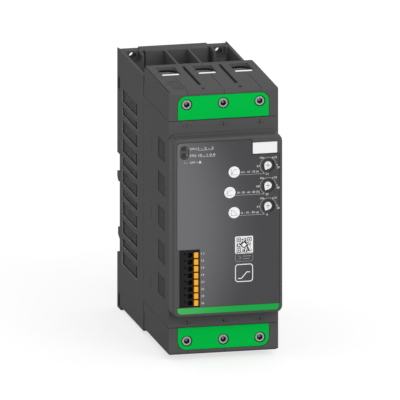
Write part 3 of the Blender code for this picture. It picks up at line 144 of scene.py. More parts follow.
room = bpy.data.worlds.new("room")
room.use_nodes = True
scene.world = room
tree = room.node_tree
air = tree.nodes["Background"]
level = tree.nodes.new("ShaderNodeMix")
level.data_type = "FLOAT"
level.inputs["A"].default_value = ROOM_LIGHT
level.inputs["B"].default_value = 1.0
tree.links.new(ray_shows_background(tree), level.inputs["Factor"])
tree.links.new(level.outputs["Result"], air.inputs["Strength"])
air.inputs["Color"].default_value = (1.0, 1.0, 1.0, 1.0)

lamp = bpy.data.lights.new("key_lamp", "SUN")
lamp.energy = KEY_STRENGTH
lamp.angle = KEY_SPREAD
key = bpy.data.objects.new("key_lamp", lamp)
key.rotation_euler = (-KEY_FROM).to_track_quat("-Z", "Y").to_euler()
scene.collection.objects.link(key)


# Housings: base plate, rear and front section, terminal covers and bezel. Moulded in a dark
# grey glass-filled plastic with a fine spark-eroded grain, snapped together.

FINE_FILLET = 0.0004
GRAIN_SCALE = 5200.0
EDGE_HIGHLIGHT_SCALE = 900.0
DRIFT_SCALE = 38.0
PIT_DEPTH = 0.00003
SPECKLE = 0.10
GRAIN_ROUGHNESS = 0.30
EDGE_POLISH = 0.15
PLASTIC_SHINE = 0.08


def socket_group(name, ins, outs):
    """Empty node group with float inputs {name: value} and outputs {name: kind}."""
    group = bpy.data.node_groups.new(name, "ShaderNodeTree")
    for label, value in ins.items():
        kind = "NodeSocketColor" if isinstance(value, tuple) else "NodeSocketFloat"
        group.interface.new_socket(label, in_out="INPUT", socket_type=kind).default_value = value
    for label, kind in outs.items():
        group.interface.new_socket(label, in_out="OUTPUT", socket_type=kind)
    return group, group.nodes.new("NodeGroupInput"), group.nodes.new("NodeGroupOutput")


def noise_node(tree, place, scale, detail=2.0):
    """Noise between 0 and 1 at a scale given per metre."""
    node = tree.nodes.new("ShaderNodeTexNoise")
    tree.links.new(place, node.inputs["Vector"])
    if isinstance(scale, (int, float)):
        node.inputs["Scale"].default_value = scale
    else:
        tree.links.new(scale, node.inputs["Scale"])
    node.inputs["Detail"].default_value = detail
    return node.outputs["Fac"]


def shaded(tree, colour, factor):
    """Colour, given as a socket or as a colour, times a factor."""
    node = tree.nodes.new("ShaderNodeVectorMath")
    node.operation = "SCALE"
    if isinstance(colour, tuple):
        node.inputs[0].default_value = colour
    else:
        tree.links.new(colour, node.inputs[0])
    tree.links.new(factor, node.inputs["Scale"])
    return node.outputs["Vector"]


def fillet_normal(tree, radius):
    """Normal of the surface as if its edges had a small fillet."""
    node = tree.nodes.new("ShaderNodeBevel")
    node.samples = 4
    if isinstance(radius, float):
        node.inputs["Radius"].default_value = radius
    else:
        tree.links.new(radius, node.inputs["Radius"])
    return node.outputs["Normal"]


def bumped(tree, height, depth, strength, normal=None):
    """Normal of a surface raised by a height between 0 and 1 times a depth, at some strength."""
    node = tree.nodes.new("ShaderNodeBump")
    node.inputs["Distance"].default_value = depth
    if isinstance(strength, float):
        node.inputs["Strength"].default_value = strength
    else:
        tree.links.new(strength, node.inputs["Strength"])
    tree.links.new(height, node.inputs["Height"])
    if normal is not None:
        tree.links.new(normal, node.inputs["Normal"])
    return node.outputs["Normal"]


def moulded_group():
    """Moulded plastic: a colour that drifts a little, a painted highlight on the edges in patches, a fine
    pitted grain.

    Shade = 1 + drift x (broad noise - 1/2) + speckle x (grain - 1/2) + highlight x patches x edge,
    where edge is how far the normal of a small fillet leans away from the face's own.
    """
    group, given, result = socket_group(
        "moulded_plastic",
        {"Colour": (0.05, 0.05, 0.05, 1.0), "Drift": 0.10, "Wear": 0.5, "Edge": FINE_FILLET,
         "Grain": GRAIN_SCALE, "Depth": 0.12},
        {"Colour": "NodeSocketColor", "Roughness": "NodeSocketFloat", "Normal": "NodeSocketVector"})
    place = group.nodes.new("ShaderNodeTexCoord").outputs["Object"]
    fillet = fillet_normal(group, given.outputs["Edge"])
    face = group.nodes.new("ShaderNodeNewGeometry")
    lean = group.nodes.new("ShaderNodeVectorMath")
    lean.operation = "DOT_PRODUCT"
    group.links.new(fillet, lean.inputs[0])
    group.links.new(face.outputs["Normal"], lean.inputs[1])
    edge = math_node(group, "SUBTRACT", 1.0, lean.outputs["Value"], clamp=True)
    # Painted highlight: the colour is lightened in noise patches on the edges, where the fillet normal
    # leans away.
    patches = noise_node(group, place, EDGE_HIGHLIGHT_SCALE, 4.0)
    edge_highlight = math_node(group, "MULTIPLY", math_node(group, "MULTIPLY", edge, patches),
                       given.outputs["Wear"])
    broad = math_node(group, "SUBTRACT", noise_node(group, place, DRIFT_SCALE, 3.0), 0.5)
    drift = math_node(group, "MULTIPLY", broad, given.outputs["Drift"])
    grain = noise_node(group, place, given.outputs["Grain"])
    speckle = math_node(group, "MULTIPLY", math_node(group, "SUBTRACT", grain, 0.5), SPECKLE)
    shade = math_node(group, "ADD", math_node(group, "ADD", drift, speckle),
                      math_node(group, "ADD", edge_highlight, 1.0))
    group.links.new(shaded(group, given.outputs["Colour"], shade), result.inputs["Colour"])
    rough = math_node(group, "MULTIPLY", math_node(group, "SUBTRACT", grain, 0.5), GRAIN_ROUGHNESS)
    polish = math_node(group, "MULTIPLY", edge, EDGE_POLISH)
    group.links.new(math_node(group, "SUBTRACT", rough, polish), result.inputs["Roughness"])
    pits = bumped(group, grain, PIT_DEPTH, given.outputs["Depth"], fillet)
    group.links.new(pits, result.inputs["Normal"])
    return group


MOULDED = moulded_group()


def grouped(name, group, colour, roughness, values):
    """Material with a group's colour, roughness and normal under its shader, and the shader."""
    made, tree, shader = node_material(name)
    node = tree.nodes.new("ShaderNodeGroup")
    node.node_tree = group
    node.inputs["Colour"].default_value = (*colour, 1.0)
    for label, value in values.items():
        node.inputs[label].default_value = value
    tree.links.new(node.outputs["Colour"], shader.inputs["Base Color"])
    rough = math_node(tree, "ADD", node.outputs["Roughness"], roughness, clamp=True)
    tree.links.new(rough, shader.inputs["Roughness"])
    tree.links.new(node.outputs["Normal"], shader.inputs["Normal"])
    return made, shader


def moulded(name, colour, roughness, **values):
    """Plastic finish, with the moulded group's values given by name."""
    made, shader = grouped(name, MOULDED, colour, roughness, values)
    shader.inputs["Specular IOR Level"].default_value = PLASTIC_SHINE
    return made


def finish_nodes(material, *names):
    """Gives CAD nodes a finish."""
    for name in names:
        mesh = NODES[name].data
        mesh.materials.clear()
        mesh.materials.append(material)


def display(red, green=None, blue=None):
    """Linear colour that shows as these levels between 0 and 255; one level gives a grey."""
    levels = np.array([red, red if green is None else green, red if blue is None else blue]) / 255
    return tuple(np.where(levels < 0.0405, levels / 12.92, ((levels + 0.055) / 1.055) ** 2.4).tolist())


def smooth_step(tree, value, start, end):
    """Smooth rise of a value from 0 at the start to 1 at the end."""
    step = tree.nodes.new("ShaderNodeMapRange")
    step.interpolation_type = "SMOOTHSTEP"
    step.inputs["From Min"].default_value = start
    step.inputs["From Max"].default_value = end
    tree.links.new(value, step.inputs["Value"])
    return step.outputs["Result"]


def blended(tree, share, first, second):
    """Mix of two colours, each a socket or a colour, by a share."""
    mix = tree.nodes.new("ShaderNodeMix")
    mix.data_type = "RGBA"
    tree.links.new(share, mix.inputs["Factor"])
    for socket, value in ((mix.inputs["A"], first), (mix.inputs["B"], second)):
        if isinstance(value, tuple):
            socket.default_value = (*value, 1.0)
        else:
            tree.links.new(value, socket)
    return mix.outputs["Result"]


def axes_and_facing(tree):
    """Object position, and it and the face normal split into their three axes."""
    place, facing = tree.nodes.new("ShaderNodeSeparateXYZ"), tree.nodes.new("ShaderNodeSeparateXYZ")
    position = tree.nodes.new("ShaderNodeTexCoord").outputs["Object"]
    tree.links.new(position, place.inputs[0])
    tree.links.new(tree.nodes.new("ShaderNodeNewGeometry").outputs["Normal"], facing.inputs[0])
    return position, place.outputs, facing.outputs


def recoloured(material):
    """Node tree of a finish, its shader and the group's colour, to be blended with another."""
    tree = material.node_tree
    group = next(node for node in tree.nodes if node.type == "GROUP")
    return tree, tree.nodes["Principled BSDF"], group.outputs["Colour"]


HOUSING_GREY = display(86)
# Painted light on the cut edges of the rear windows.
CUT_EDGE_PAINTED_LIGHT = display(158)
# Painted shade on the recessed floors of the front vents.
VENT_FLOOR_PAINTED_SHADE = display(79)
SIDE_SKIN = 0.0395
VENT_FLOOR = 0.0402
WINDOWS_MIDDLE = 0.0508
WINDOWS_REACH = 0.0250
WINDOWS_TOP = 0.170


def housing_finish():
    """Grey, with painted light on the cut edges of the rear windows against their shade, and painted shade
    on the vents' floors.

    Both lie in the side walls' skin: the edges face along it, and the floors face out.
    """
    made = moulded("housing_grey_plastic", HOUSING_GREY, 0.72)
    tree, shader, colour = recoloured(made)
    _, place, facing = axes_and_facing(tree)
    aside = math_node(tree, "ABSOLUTE", place["X"])
    outward = math_node(tree, "GREATER_THAN", math_node(tree, "ABSOLUTE", facing["X"]), 0.5)
    skin = math_node(tree, "GREATER_THAN", aside, SIDE_SKIN)
    to_middle = math_node(tree, "ABSOLUTE", math_node(tree, "SUBTRACT", place["Y"], WINDOWS_MIDDLE))
    windows = math_node(tree, "MULTIPLY", math_node(tree, "LESS_THAN", to_middle, WINDOWS_REACH),
                        math_node(tree, "LESS_THAN", place["Z"], WINDOWS_TOP))
    # Painted light: the cut edges of the rear windows are lighter, to offset the shade in the openings.
    edges = math_node(tree, "MULTIPLY", math_node(tree, "SUBTRACT", skin, outward, clamp=True), windows)
    # Painted shade: the vents' floors are darkened.
    floors = math_node(tree, "MULTIPLY", math_node(tree, "MULTIPLY", skin, outward),
                       math_node(tree, "LESS_THAN", aside, VENT_FLOOR))
    darker = blended(tree, floors, colour, VENT_FLOOR_PAINTED_SHADE)
    tree.links.new(blended(tree, edges, darker, CUT_EDGE_PAINTED_LIGHT), shader.inputs["Base Color"])
    return made


housing_plastic = housing_finish()
finish_nodes(housing_plastic, "base_plate", "rear_housing", "front_housing",
             "upper_terminal_cover", "lower_terminal_cover")

bezel_plastic = moulded("bezel_grey_plastic", display(85), 0.60, Wear=0.8, Edge=0.0006)
finish_nodes(bezel_plastic, "front_bezel")


# Raised marks on the housings: pole numbers on the front face beside the seams, and a frame
# with a smaller one in it on the top, moulded with the wall. Their darker colour is painted shade.

MM = 0.001
FRONT_Y = -90.2
FACE_Y = -75.8
TOP_Z = 200.1
POLES = (-27.0, 0.0, 27.0)
CAPITALS = 0.71
LETTER_WEIGHT = 0.01


def joined(shapes):
    """One shape from several, each an array of (across, up) points and a list of faces."""
    points, faces, count = [], [], 0
    for shape_points, shape_faces in shapes:
        points.append(np.asarray(shape_points, float))
        faces += [[index + count for index in face] for face in shape_faces]
        count += len(shape_points)
    return np.concatenate(points), faces


def lettering(text, left, right, up, height):
    """Flat line of text that fills the space between two sides, on its base line."""
    curve = bpy.data.curves.new("lettering", "FONT")
    curve.body = text
    curve.size = height / CAPITALS
    curve.offset = LETTER_WEIGHT * height
    curve.resolution_u = 3
    carrier = bpy.data.objects.new("lettering", curve)
    mesh = bpy.data.meshes.new_from_object(carrier)
    points = np.empty(len(mesh.vertices) * 3)
    mesh.vertices.foreach_get("co", points)
    faces = [list(face.vertices) for face in mesh.polygons]
    bpy.data.objects.remove(carrier)
    bpy.data.meshes.remove(mesh)
    points = points.reshape(-1, 3)[:, :2]
    low, high = points[:, 0].min(), points[:, 0].max()
    points[:, 0] = left + (points[:, 0] - low) * (right - left) / (high - low)
    return points + (0, up), faces


def band(path, width, closed=False):
    """Flat line of constant width along a path, mitred at its corners."""
    path = np.asarray(path, float)
    along = np.diff(np.vstack([path, path[:1]]) if closed else path, axis=0)
    along /= np.linalg.norm(along, axis=1, keepdims=True)
    before = np.vstack([along[-1:] if closed else along[:1], along if not closed else along[:-1]])
    after = along if closed else np.vstack([along, along[-1:]])
    side = before + after
    side /= np.linalg.norm(side, axis=1, keepdims=True)
    stretch = width / 2 / np.sum(side * after, axis=1, keepdims=True)
    normal = np.column_stack([-side[:, 1], side[:, 0]]) * stretch
    count = len(path)
    last = count if closed else count - 1
    faces = [[i, (i + 1) % count, count + (i + 1) % count, count + i] for i in range(last)]
    return np.vstack([path - normal, path + normal]), faces


def arc(across, up, radius, start, end, steps=24):
    """Points on a circle between two bearings in degrees, clockwise from the top."""
    turn = np.radians(np.linspace(start, end, steps + 1))
    return np.column_stack([across + radius * np.sin(turn), up + radius * np.cos(turn)])


def disc(across, up, radius, steps=40):
    """Filled round."""
    return arc(across, up, radius, 360 - 360 / steps, 0, steps - 1), [list(range(steps))]


def round_corners(left, low, right, high, radius, steps=5):
    """Outline of a rectangle with round corners, anticlockwise."""
    corners = ((right - radius, high - radius, 90), (left + radius, high - radius, 0),
               (left + radius, low + radius, -90), (right - radius, low + radius, -180))
    return np.vstack([arc(x, y, radius, turn, turn - 90, steps) for x, y, turn in corners])


def plate(outline):
    """Filled outline."""
    return outline, [list(range(len(outline)))]


def on_front(name, shapes, material, depth, thickness=0.0):
    """Piece from flat shapes in millimetres, seen from the front at a depth, raised if thick."""
    points, faces = joined(shapes)
    solid = np.column_stack([points[:, 0], np.full(len(points), depth), points[:, 1]])
    return raised(name, solid, faces, material, (0, -thickness, 0))


def on_top(name, shapes, material, height, thickness=0.0):
    """The same, seen from above, with the front of the device at the bottom."""
    points, faces = joined(shapes)
    solid = np.column_stack([points, np.full(len(points), height)])
    return raised(name, solid, faces, material, (0, 0, thickness))


def raised(name, points, faces, material, lift):
    """Piece from flat faces, lifted off the surface with walls round every open edge."""
    count = len(points)
    if any(lift):
        edges = {}
        for face in faces:
            for a, b in zip(face, face[1:] + face[:1]):
                edges[(a, b)] = edges.get((a, b), 0) + 1
        walls = [[a, b, b + count, a + count] for a, b in edges if (b, a) not in edges]
        faces = [[index + count for index in face] for face in faces] + walls
        points = np.vstack([points, points + lift])
    piece = mesh_piece(name, points * MM, faces, material)
    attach(piece, "root")
    return piece


TOP_FRAMES = ((-34.2, -68.0, -28.0, -44.5), (-32.4, -64.5, -29.8, -47.5))
TOP_ARROW = [(-37.2, -54.8), (-35.4, -53.2), (-37.2, -51.6)]
FRAME_CORNER = 0.4
FRAME_LINE = 0.35
MARK_HALF_WIDTH = 3.2
MARK_HEIGHT = 2.9
MARK_RISE = 0.20
UPPER_MARK_LEVEL = 173.4
LOWER_MARK_LEVEL = 26.9

# Painted shade: the marks are darker than the wall to stand for the shading of their relief.
relief_shaded_plastic = moulded("relief_painted_shade_plastic", display(56), 0.45)
marks = []
for number, pole in enumerate(POLES):
    sides = pole - MARK_HALF_WIDTH, pole + MARK_HALF_WIDTH
    marks.append(lettering(f"- {2 * number + 1} -", *sides, UPPER_MARK_LEVEL, MARK_HEIGHT))
    marks.append(lettering(f"- {2 * number + 2} -", *sides, LOWER_MARK_LEVEL, MARK_HEIGHT))
on_front("pole_numbers", marks, relief_shaded_plastic, FACE_Y, MARK_RISE)

frames = [band(round_corners(*sides, FRAME_CORNER, 2), FRAME_LINE, True) for sides in TOP_FRAMES]
frames.append(plate(np.array(TOP_ARROW)))
on_top("top_frames", frames, relief_shaded_plastic, TOP_Z, MARK_RISE)


# Green strips round the terminal screws: flat plates of through-dyed plastic with a matt face,
# clipped into their seats in the covers.

strip_green = moulded("strip_green_plastic", display(0, 192, 71), 0.6, Wear=0.0, Drift=0.05)
strip_green.node_tree.nodes["Principled BSDF"].inputs["Specular IOR Level"].default_value = 0.03
finish_nodes(strip_green, "upper_green_strip", "lower_green_strip")


# Panel: a printed film glued into the bezel, grey, with the green band as a second print below
# it. Both are lighter towards their left as a painted sheen, which bows out halfway up.

MIDDLE_HEIGHT = 0.100
BEND = 4.2
FADE_START = -0.030
FADE_END = 0.026
FILM_SHINE = 0.15
FILM_INK_SCALE = 2600.0
INK_DRIFT = 0.05
PEEL_SCALE = 1500.0
PEEL_DEPTH = 0.00003
PEEL_STRENGTH = 0.06


def painted_sheen_group():
    """Share of the right-hand colour, a painted sheen: a smooth step over X + bend x (height from middle)
    squared.
    """
    group, given, result = socket_group(
        "painted_sheen_fade", {"Left": (0.2, 0.2, 0.2, 1.0), "Right": (0.1, 0.1, 0.1, 1.0)},
        {"Colour": "NodeSocketColor", "Normal": "NodeSocketVector"})
    place = group.nodes.new("ShaderNodeTexCoord").outputs["Object"]
    axes = group.nodes.new("ShaderNodeSeparateXYZ")
    group.links.new(place, axes.inputs[0])
    height = math_node(group, "SUBTRACT", axes.outputs["Z"], MIDDLE_HEIGHT)
    bent = math_node(group, "MULTIPLY", math_node(group, "MULTIPLY", height, height), BEND)
    # Painted sheen: the share fades the film from its lighter left colour to its right one.
    share = smooth_step(group, math_node(group, "ADD", axes.outputs["X"], bent), FADE_START, FADE_END)
    sheen_colour = blended(group, share, given.outputs["Left"], given.outputs["Right"])
    ink = noise_node(group, place, FILM_INK_SCALE)
    shade = math_node(group, "ADD", math_node(group, "MULTIPLY", ink, INK_DRIFT), 1 - INK_DRIFT / 2)
    group.links.new(shaded(group, sheen_colour, shade), result.inputs["Colour"])
    peel = bumped(group, noise_node(group, place, PEEL_SCALE), PEEL_DEPTH, PEEL_STRENGTH)
    group.links.new(peel, result.inputs["Normal"])
    return group


SHEEN_FADE = painted_sheen_group()


def film_with_painted_sheen(name, left, right, roughness):
    """Printed film with a painted sheen that fades from one colour to another."""
    made, tree, shader = node_material(name)
    node = tree.nodes.new("ShaderNodeGroup")
    node.node_tree = SHEEN_FADE
    node.inputs["Left"].default_value = (*left, 1.0)
    node.inputs["Right"].default_value = (*right, 1.0)
    tree.links.new(node.outputs["Colour"], shader.inputs["Base Color"])
    tree.links.new(node.outputs["Normal"], shader.inputs["Normal"])
    shader.inputs["Roughness"].default_value = roughness
    shader.inputs["Specular IOR Level"].default_value = FILM_SHINE
    return made


panel_film = film_with_painted_sheen("panel_grey_film", display(112, 112, 114), display(72, 72, 74), 0.55)
finish_nodes(panel_film, "front_panel_film")
band_film = film_with_painted_sheen("band_green_film", display(76, 184, 98), display(22, 170, 70), 0.5)
finish_nodes(band_film, "front_green_stripe")


# Print on the panel: dials, scales, lines, figures and units in white ink, screen-printed on
# the film.

INK_Y = FRONT_Y - 0.02
OVERPRINT_Y = INK_Y - 0.02
KNOB_X = 29.8
KNOBS = (145.5, 130.4, 115.3)
DIAL_RADIUS = 6.0
TICKS = (-150, -90, -30, 30, 90)
TICK_INSIDE = 0.1
TICK_OUTSIDE = 0.9
TICK_SPREAD = 4.5
SCALES = (("0.5", "5", "10", "15", "20"), ("30", "40", "60", "70", "80"), ("0", "5", "10", "15", "20"))
FIGURES = 1.5
FIGURE_WIDTH = 1.05
FIGURE_PLACES = ((-0.8, -6.3), (-7.9, -0.1), (-4.9, 6.0), (5.3, 5.85), (7.4, -1.8))
RANGES = ("0.5 - 10 - 20 (s)", "30 - 50 - 60 - 80 (%)", "0 - 10 - 20 (s)")
RANGE_SIDES = ((9.9, 22.8), (6.75, 23.4), (9.9, 22.8))
RANGE_LIFT = 1.2
DISCS = (4.7, 1.5, 4.7)
DISC_RADIUS = 4.15
DISC_DROP = 3.55
RULE_DROP = 5.9
RULE_END = 26.6
LINE_WIDTH = 0.34
PINHOLE_SCALE = 3400.0
THIN_SHADE = 0.90
INK_SHINE = 0.2
COAT_DEPTH = 0.00002
COAT_STRENGTH = 0.08


def ink_finish(name, level, roughness=0.55):
    """Screen ink: a thin even coat with pinholes, a little darker where it is thin."""
    made, tree, shader = node_material(name)
    place = tree.nodes.new("ShaderNodeTexCoord").outputs["Object"]
    thin = noise_node(tree, place, PINHOLE_SCALE, 3.0)
    shade = tree.nodes.new("ShaderNodeMapRange")
    shade.inputs["From Min"].default_value = 0.30
    shade.inputs["From Max"].default_value = 0.55
    shade.inputs["To Min"].default_value = THIN_SHADE
    tree.links.new(thin, shade.inputs["Value"])
    tree.links.new(shaded(tree, level, shade.outputs["Result"]), shader.inputs["Base Color"])
    shader.inputs["Roughness"].default_value = roughness
    shader.inputs["Specular IOR Level"].default_value = INK_SHINE
    tree.links.new(bumped(tree, thin, COAT_DEPTH, COAT_STRENGTH), shader.inputs["Normal"])
    return made


white_ink = ink_finish("white_ink", display(255))
text_ink = ink_finish("text_ink", display(225))
line_ink = ink_finish("line_ink", display(165))
grey_ink = ink_finish("grey_ink", display(150))

white, fine, texts = [], [], []
for level, scale, extent, sides, disc_x in zip(KNOBS, SCALES, RANGES, RANGE_SIDES, DISCS):
    fine.append(band(arc(KNOB_X, level, DIAL_RADIUS, TICKS[0], TICKS[-1]), LINE_WIDTH))
    for turn, figure, (aside, above) in zip(TICKS, scale, FIGURE_PLACES):
        inner = arc(KNOB_X, level, DIAL_RADIUS - TICK_INSIDE, turn, turn, 0)[0]
        tip = arc(KNOB_X, level, DIAL_RADIUS + TICK_OUTSIDE, turn - TICK_SPREAD, turn + TICK_SPREAD, 1)
        texts.append((np.vstack([inner, tip[1], tip[0]]), [[0, 1, 2]]))
        half = FIGURE_WIDTH * len(figure.replace(".", "")) / 2
        texts.append(lettering(figure, KNOB_X + aside - half, KNOB_X + aside + half,
                               level + above - FIGURES / 2, FIGURES))
    white.append(disc(disc_x, level - DISC_DROP, DISC_RADIUS))
    foot = level - RULE_DROP
    start = disc_x + math.sqrt(DISC_RADIUS ** 2 - (RULE_DROP - DISC_DROP) ** 2)
    fine.append(band([(start, foot), (RULE_END, foot)], LINE_WIDTH))
    texts.append(lettering(extent, *sides, foot + RANGE_LIFT, FIGURES))
on_front("dial_discs", white, white_ink, INK_Y)
on_front("dial_figures", texts, text_ink, INK_Y)
on_front("dial_lines", fine, line_ink, INK_Y)


# Diagrams on the white rounds: axes and a voltage ramp that rises, starts high or falls. They
# are printed in grey ink over the white.

DIAGRAM_LINE = 0.28
AXES = [(-2.1, 2.2), (-2.1, -2.1), (2.3, -2.1)]
RISING = [(-1.9, -1.9), (-0.9, 0.4), (0.1, 1.6), (1.9, 1.8)]
RAISED_START = [(-2.0, -0.9), (-0.9, 0.9), (0.2, 1.7), (1.9, 1.8)]
FALLING = [(-2.0, 1.6), (-0.6, 1.5), (1.0, -0.2), (1.9, -1.8)]


def diagram(across, up, ramp):
    """Axes with a ramp given as points in millimetres from the round's middle."""
    return [band(np.array(line) + (across, up), DIAGRAM_LINE) for line in (AXES, ramp)]


diagrams = []
for level, disc_x, ramp in zip(KNOBS, DISCS, (RISING, RAISED_START, FALLING)):
    diagrams += diagram(disc_x, level - DISC_DROP, ramp)
on_front("diagram_print", diagrams, grey_ink, OVERPRINT_Y)


# Key to the status lamps, printed on the film: two rows beside the window and one for the
# fault, which a thin bracket ties to the lower lamp.

KEY_LEFT = -28.0
KEY_FIGURES = 1.55
KEY_ROWS = ((160.1, "ON |", -22.8, "1 - 2 - 3", -21.9, -10.7),
            (155.15, "(%) |", -21.3, "0 - 1 0 0", -20.7, -9.3))
KEY_RULE_DROP = 0.5
KEY_RULE_WIDTH = 0.22
FAULT_LEVEL = 149.9
FAULT_WORD_END = -22.4
FAULT_SIGN = [(-21.8, 0.0), (-19.3, 0.0), (-20.55, 2.1)]
BRACKET = [(-32.2, 152.9), (-32.2, 150.4), (-29.6, 150.4)]

rows = []
for level, first, middle, second, start, end in KEY_ROWS:
    rows.append(lettering(first, KEY_LEFT, middle, level, KEY_FIGURES))
    rows.append(lettering(second, start, end, level, KEY_FIGURES))
    rule = level - KEY_RULE_DROP
    rows.append(band([(start, rule), (end, rule)], KEY_RULE_WIDTH))
rows.append(lettering("OFF =", KEY_LEFT, FAULT_WORD_END, FAULT_LEVEL, KEY_FIGURES))
rows.append(plate(np.array(FAULT_SIGN) + (0, FAULT_LEVEL)))
on_front("lamp_key", rows, text_ink, INK_Y)
on_front("lamp_bracket", [band(BRACKET, LINE_WIDTH)], line_ink, INK_Y)


# Service label, printed on the film: a white patch with a square field of black cells, a grey
# outlined box with an arrow and two strokes below it, and a white outline with a ramp. The
# cells are random.

CODE_LEFT = 5.35
CODE_RIGHT = 18.6
CODE_LOW = 81.0
CODE_HIGH = 93.9
CELLS = 21
CODE_MARGIN = 1.1
CODE_SEED = 11
PATCH_CORNER = 0.9
BOX_LOW = 75.3
BOX_INSET = 0.15
BOX_OVERLAP = 0.6
BOX_CORNER = 1.4
BOX_LINE = 0.3
ARROW = [(8.0, 4.2), (9.9, 2.7), (8.0, 1.2)]
ARROW_LINE = 0.35
STROKES = ([(11.0, 3.8), (17.2, 3.8)], [(11.0, 1.9), (16.0, 1.9)])
STROKE_LINE = 0.5
OUTLINE_LOW = 60.0
OUTLINE_HIGH = 73.3
OUTLINE_INSET = 0.3
OUTLINE_CORNER = 2.0
RAMP = [(7.6, 62.6), (10.0, 62.6), (14.0, 67.2), (16.4, 67.2)]
RAMP_LINE = 0.6


def cell_field(count, left, low, side):
    """Random field of square cells, with a ringed square in three corners and a clear middle."""
    filled = np.random.default_rng(CODE_SEED).random((count, count)) < 0.5
    near = np.abs(np.arange(count) - (count - 1) / 2)
    ring = np.maximum.outer(np.abs(np.arange(6) - 2.5), np.abs(np.arange(6) - 2.5))
    far = count - 6
    for row, column in ((0, 0), (far, 0), (far, far)):
        filled[max(row - 1, 0):row + 7, max(column - 1, 0):column + 7] = False
        filled[row:row + 6, column:column + 6] = (ring > 2) | (ring < 1)
    filled[np.add.outer(near, near) < 4] = False
    filled[np.abs(np.add.outer(near, near) - 4.5) < 1.1] = True
    step = side / count
    rows, columns = np.nonzero(filled)
    x, z = left + columns * step, low + rows * step
    corners = np.stack([np.column_stack([x + a * step, z + b * step])
                        for a, b in ((0, 0), (1, 0), (1, 1), (0, 1))], axis=1)
    return corners.reshape(-1, 2), np.arange(len(x) * 4).reshape(-1, 4).tolist()


black_ink = ink_finish("black_ink", display(34))
patch = [plate(round_corners(CODE_LEFT, CODE_LOW, CODE_RIGHT, CODE_HIGH, PATCH_CORNER))]
on_front("code_patch", patch, white_ink, INK_Y)
side = CODE_RIGHT - CODE_LEFT - 2 * CODE_MARGIN
low = (CODE_LOW + CODE_HIGH - side) / 2
cells = [cell_field(CELLS, CODE_LEFT + CODE_MARGIN, low, side)]
on_front("code_cells", cells, black_ink, OVERPRINT_Y)

box = round_corners(CODE_LEFT + BOX_INSET, BOX_LOW, CODE_RIGHT - BOX_INSET, CODE_LOW + BOX_OVERLAP,
                    BOX_CORNER)
service = [band(box, BOX_LINE, True), band(np.array(ARROW) + (0, BOX_LOW), ARROW_LINE),
           *(band(np.array(stroke) + (0, BOX_LOW), STROKE_LINE) for stroke in STROKES)]
on_front("service_box", service, grey_ink, INK_Y)

outline = round_corners(CODE_LEFT + OUTLINE_INSET, OUTLINE_LOW + OUTLINE_INSET,
                        CODE_RIGHT - OUTLINE_INSET, OUTLINE_HIGH - OUTLINE_INSET, OUTLINE_CORNER)
sign = [band(outline, RAMP_LINE, True), band(RAMP, RAMP_LINE)]
on_front("ramp_sign", sign, white_ink, INK_Y)


# Writing label: a smooth white plastic plate for the user's own words, clipped into its pocket
# in the bezel.

label_white = moulded("label_white_plastic", display(252), 0.45, Wear=0.0, Drift=0.02, Depth=0.05)
finish_nodes(label_white, "label_plate")


# Status window: smoked clear plastic with a round lens over each lamp, and a smaller round
# light sensor beside each.

smoked = moulded("smoked_clear_plastic", display(86), 0.28, Wear=0.3, Drift=0.04, Depth=0.02)
smoked.node_tree.nodes["Principled BSDF"].inputs["Coat Weight"].default_value = 0.25
finish_nodes(smoked, "status_light_guide")

LAMPS = (161.2, 156.0)
LENS_X = -32.4
LENS_RADIUS = 1.95
LENS_Y = -89.82
SENSOR_X = -29.95
SENSOR_RADIUS = 0.8
SENSOR_LIFT = 0.2
WINDOW_Y = -89.62

lens_dark = moulded("lens_dark_plastic", display(60), 0.2, Wear=0.0, Drift=0.05, Depth=0.0)
rounds = [disc(LENS_X, level, LENS_RADIUS) for level in LAMPS]
on_front("lamp_lenses", rounds, lens_dark, LENS_Y)
pale = moulded("sensor_pale_plastic", display(118), 0.3, Wear=0.0, Drift=0.05, Depth=0.0)
rounds = [disc(SENSOR_X, level + SENSOR_LIFT, SENSOR_RADIUS, 20) for level in LAMPS]
on_front("lamp_sensors", rounds, pale, WINDOW_Y)


# Control connector: black plastic block with eight spring contacts, pushed into the board
# behind the panel. Its contacts are numbered beside it on the film.

connector_black = moulded("connector_black_plastic", display(32), 0.5, Wear=0.25, Drift=0.12)
finish_nodes(connector_black, "control_connector")

CONTACT_FIGURES = ("11", "12", "13", "14", "21", "22", "23", "24")
CONTACT_LABEL_X = -19.7
CONTACT_LABEL_WIDTH = 2.2
FIRST_LABEL = 45.85
LABEL_PITCH = 5.27
labels = [lettering(figure, CONTACT_LABEL_X, CONTACT_LABEL_X + CONTACT_LABEL_WIDTH,
                    FIRST_LABEL + LABEL_PITCH * row - FIGURES / 2, FIGURES)
          for row, figure in enumerate(CONTACT_FIGURES[::-1])]
on_front("contact_numbers", labels, text_ink, INK_Y)


# Release levers: orange plastic buttons beside the wire entries, with a yellower painted
# highlight along the middle and painted shade on the faces in the gaps.

LEVER_ORANGE = display(255, 150, 25)
HUMP_HIGHLIGHT = display(255, 188, 58)
GAP_SHADE = display(70, 38, 10)
LEVERS_X = -0.02335
HUMP_TOP = 0.0004
HUMP_FOOT = 0.0020


def lever_finish():
    """Orange, with a yellower painted highlight on a smooth hump across the lever, and painted shade on
    the faces in the gaps.
    """
    made = moulded("lever_orange_plastic", LEVER_ORANGE, 0.42, Wear=0.0, Drift=0.05)
    tree, shader, colour = recoloured(made)
    _, place, facing = axes_and_facing(tree)
    aside = math_node(tree, "ABSOLUTE", math_node(tree, "SUBTRACT", place["X"], LEVERS_X))
    # Painted highlight: a yellower hump along the middle of the levers.
    bright = blended(tree, smooth_step(tree, aside, HUMP_FOOT, HUMP_TOP), colour, HUMP_HIGHLIGHT)
    # Painted shade: the lever faces that don't face the front, in the gaps, are darkened.
    front = math_node(tree, "LESS_THAN", facing["Y"], -0.5)
    tree.links.new(blended(tree, front, GAP_SHADE, bright), shader.inputs["Base Color"])
    return made


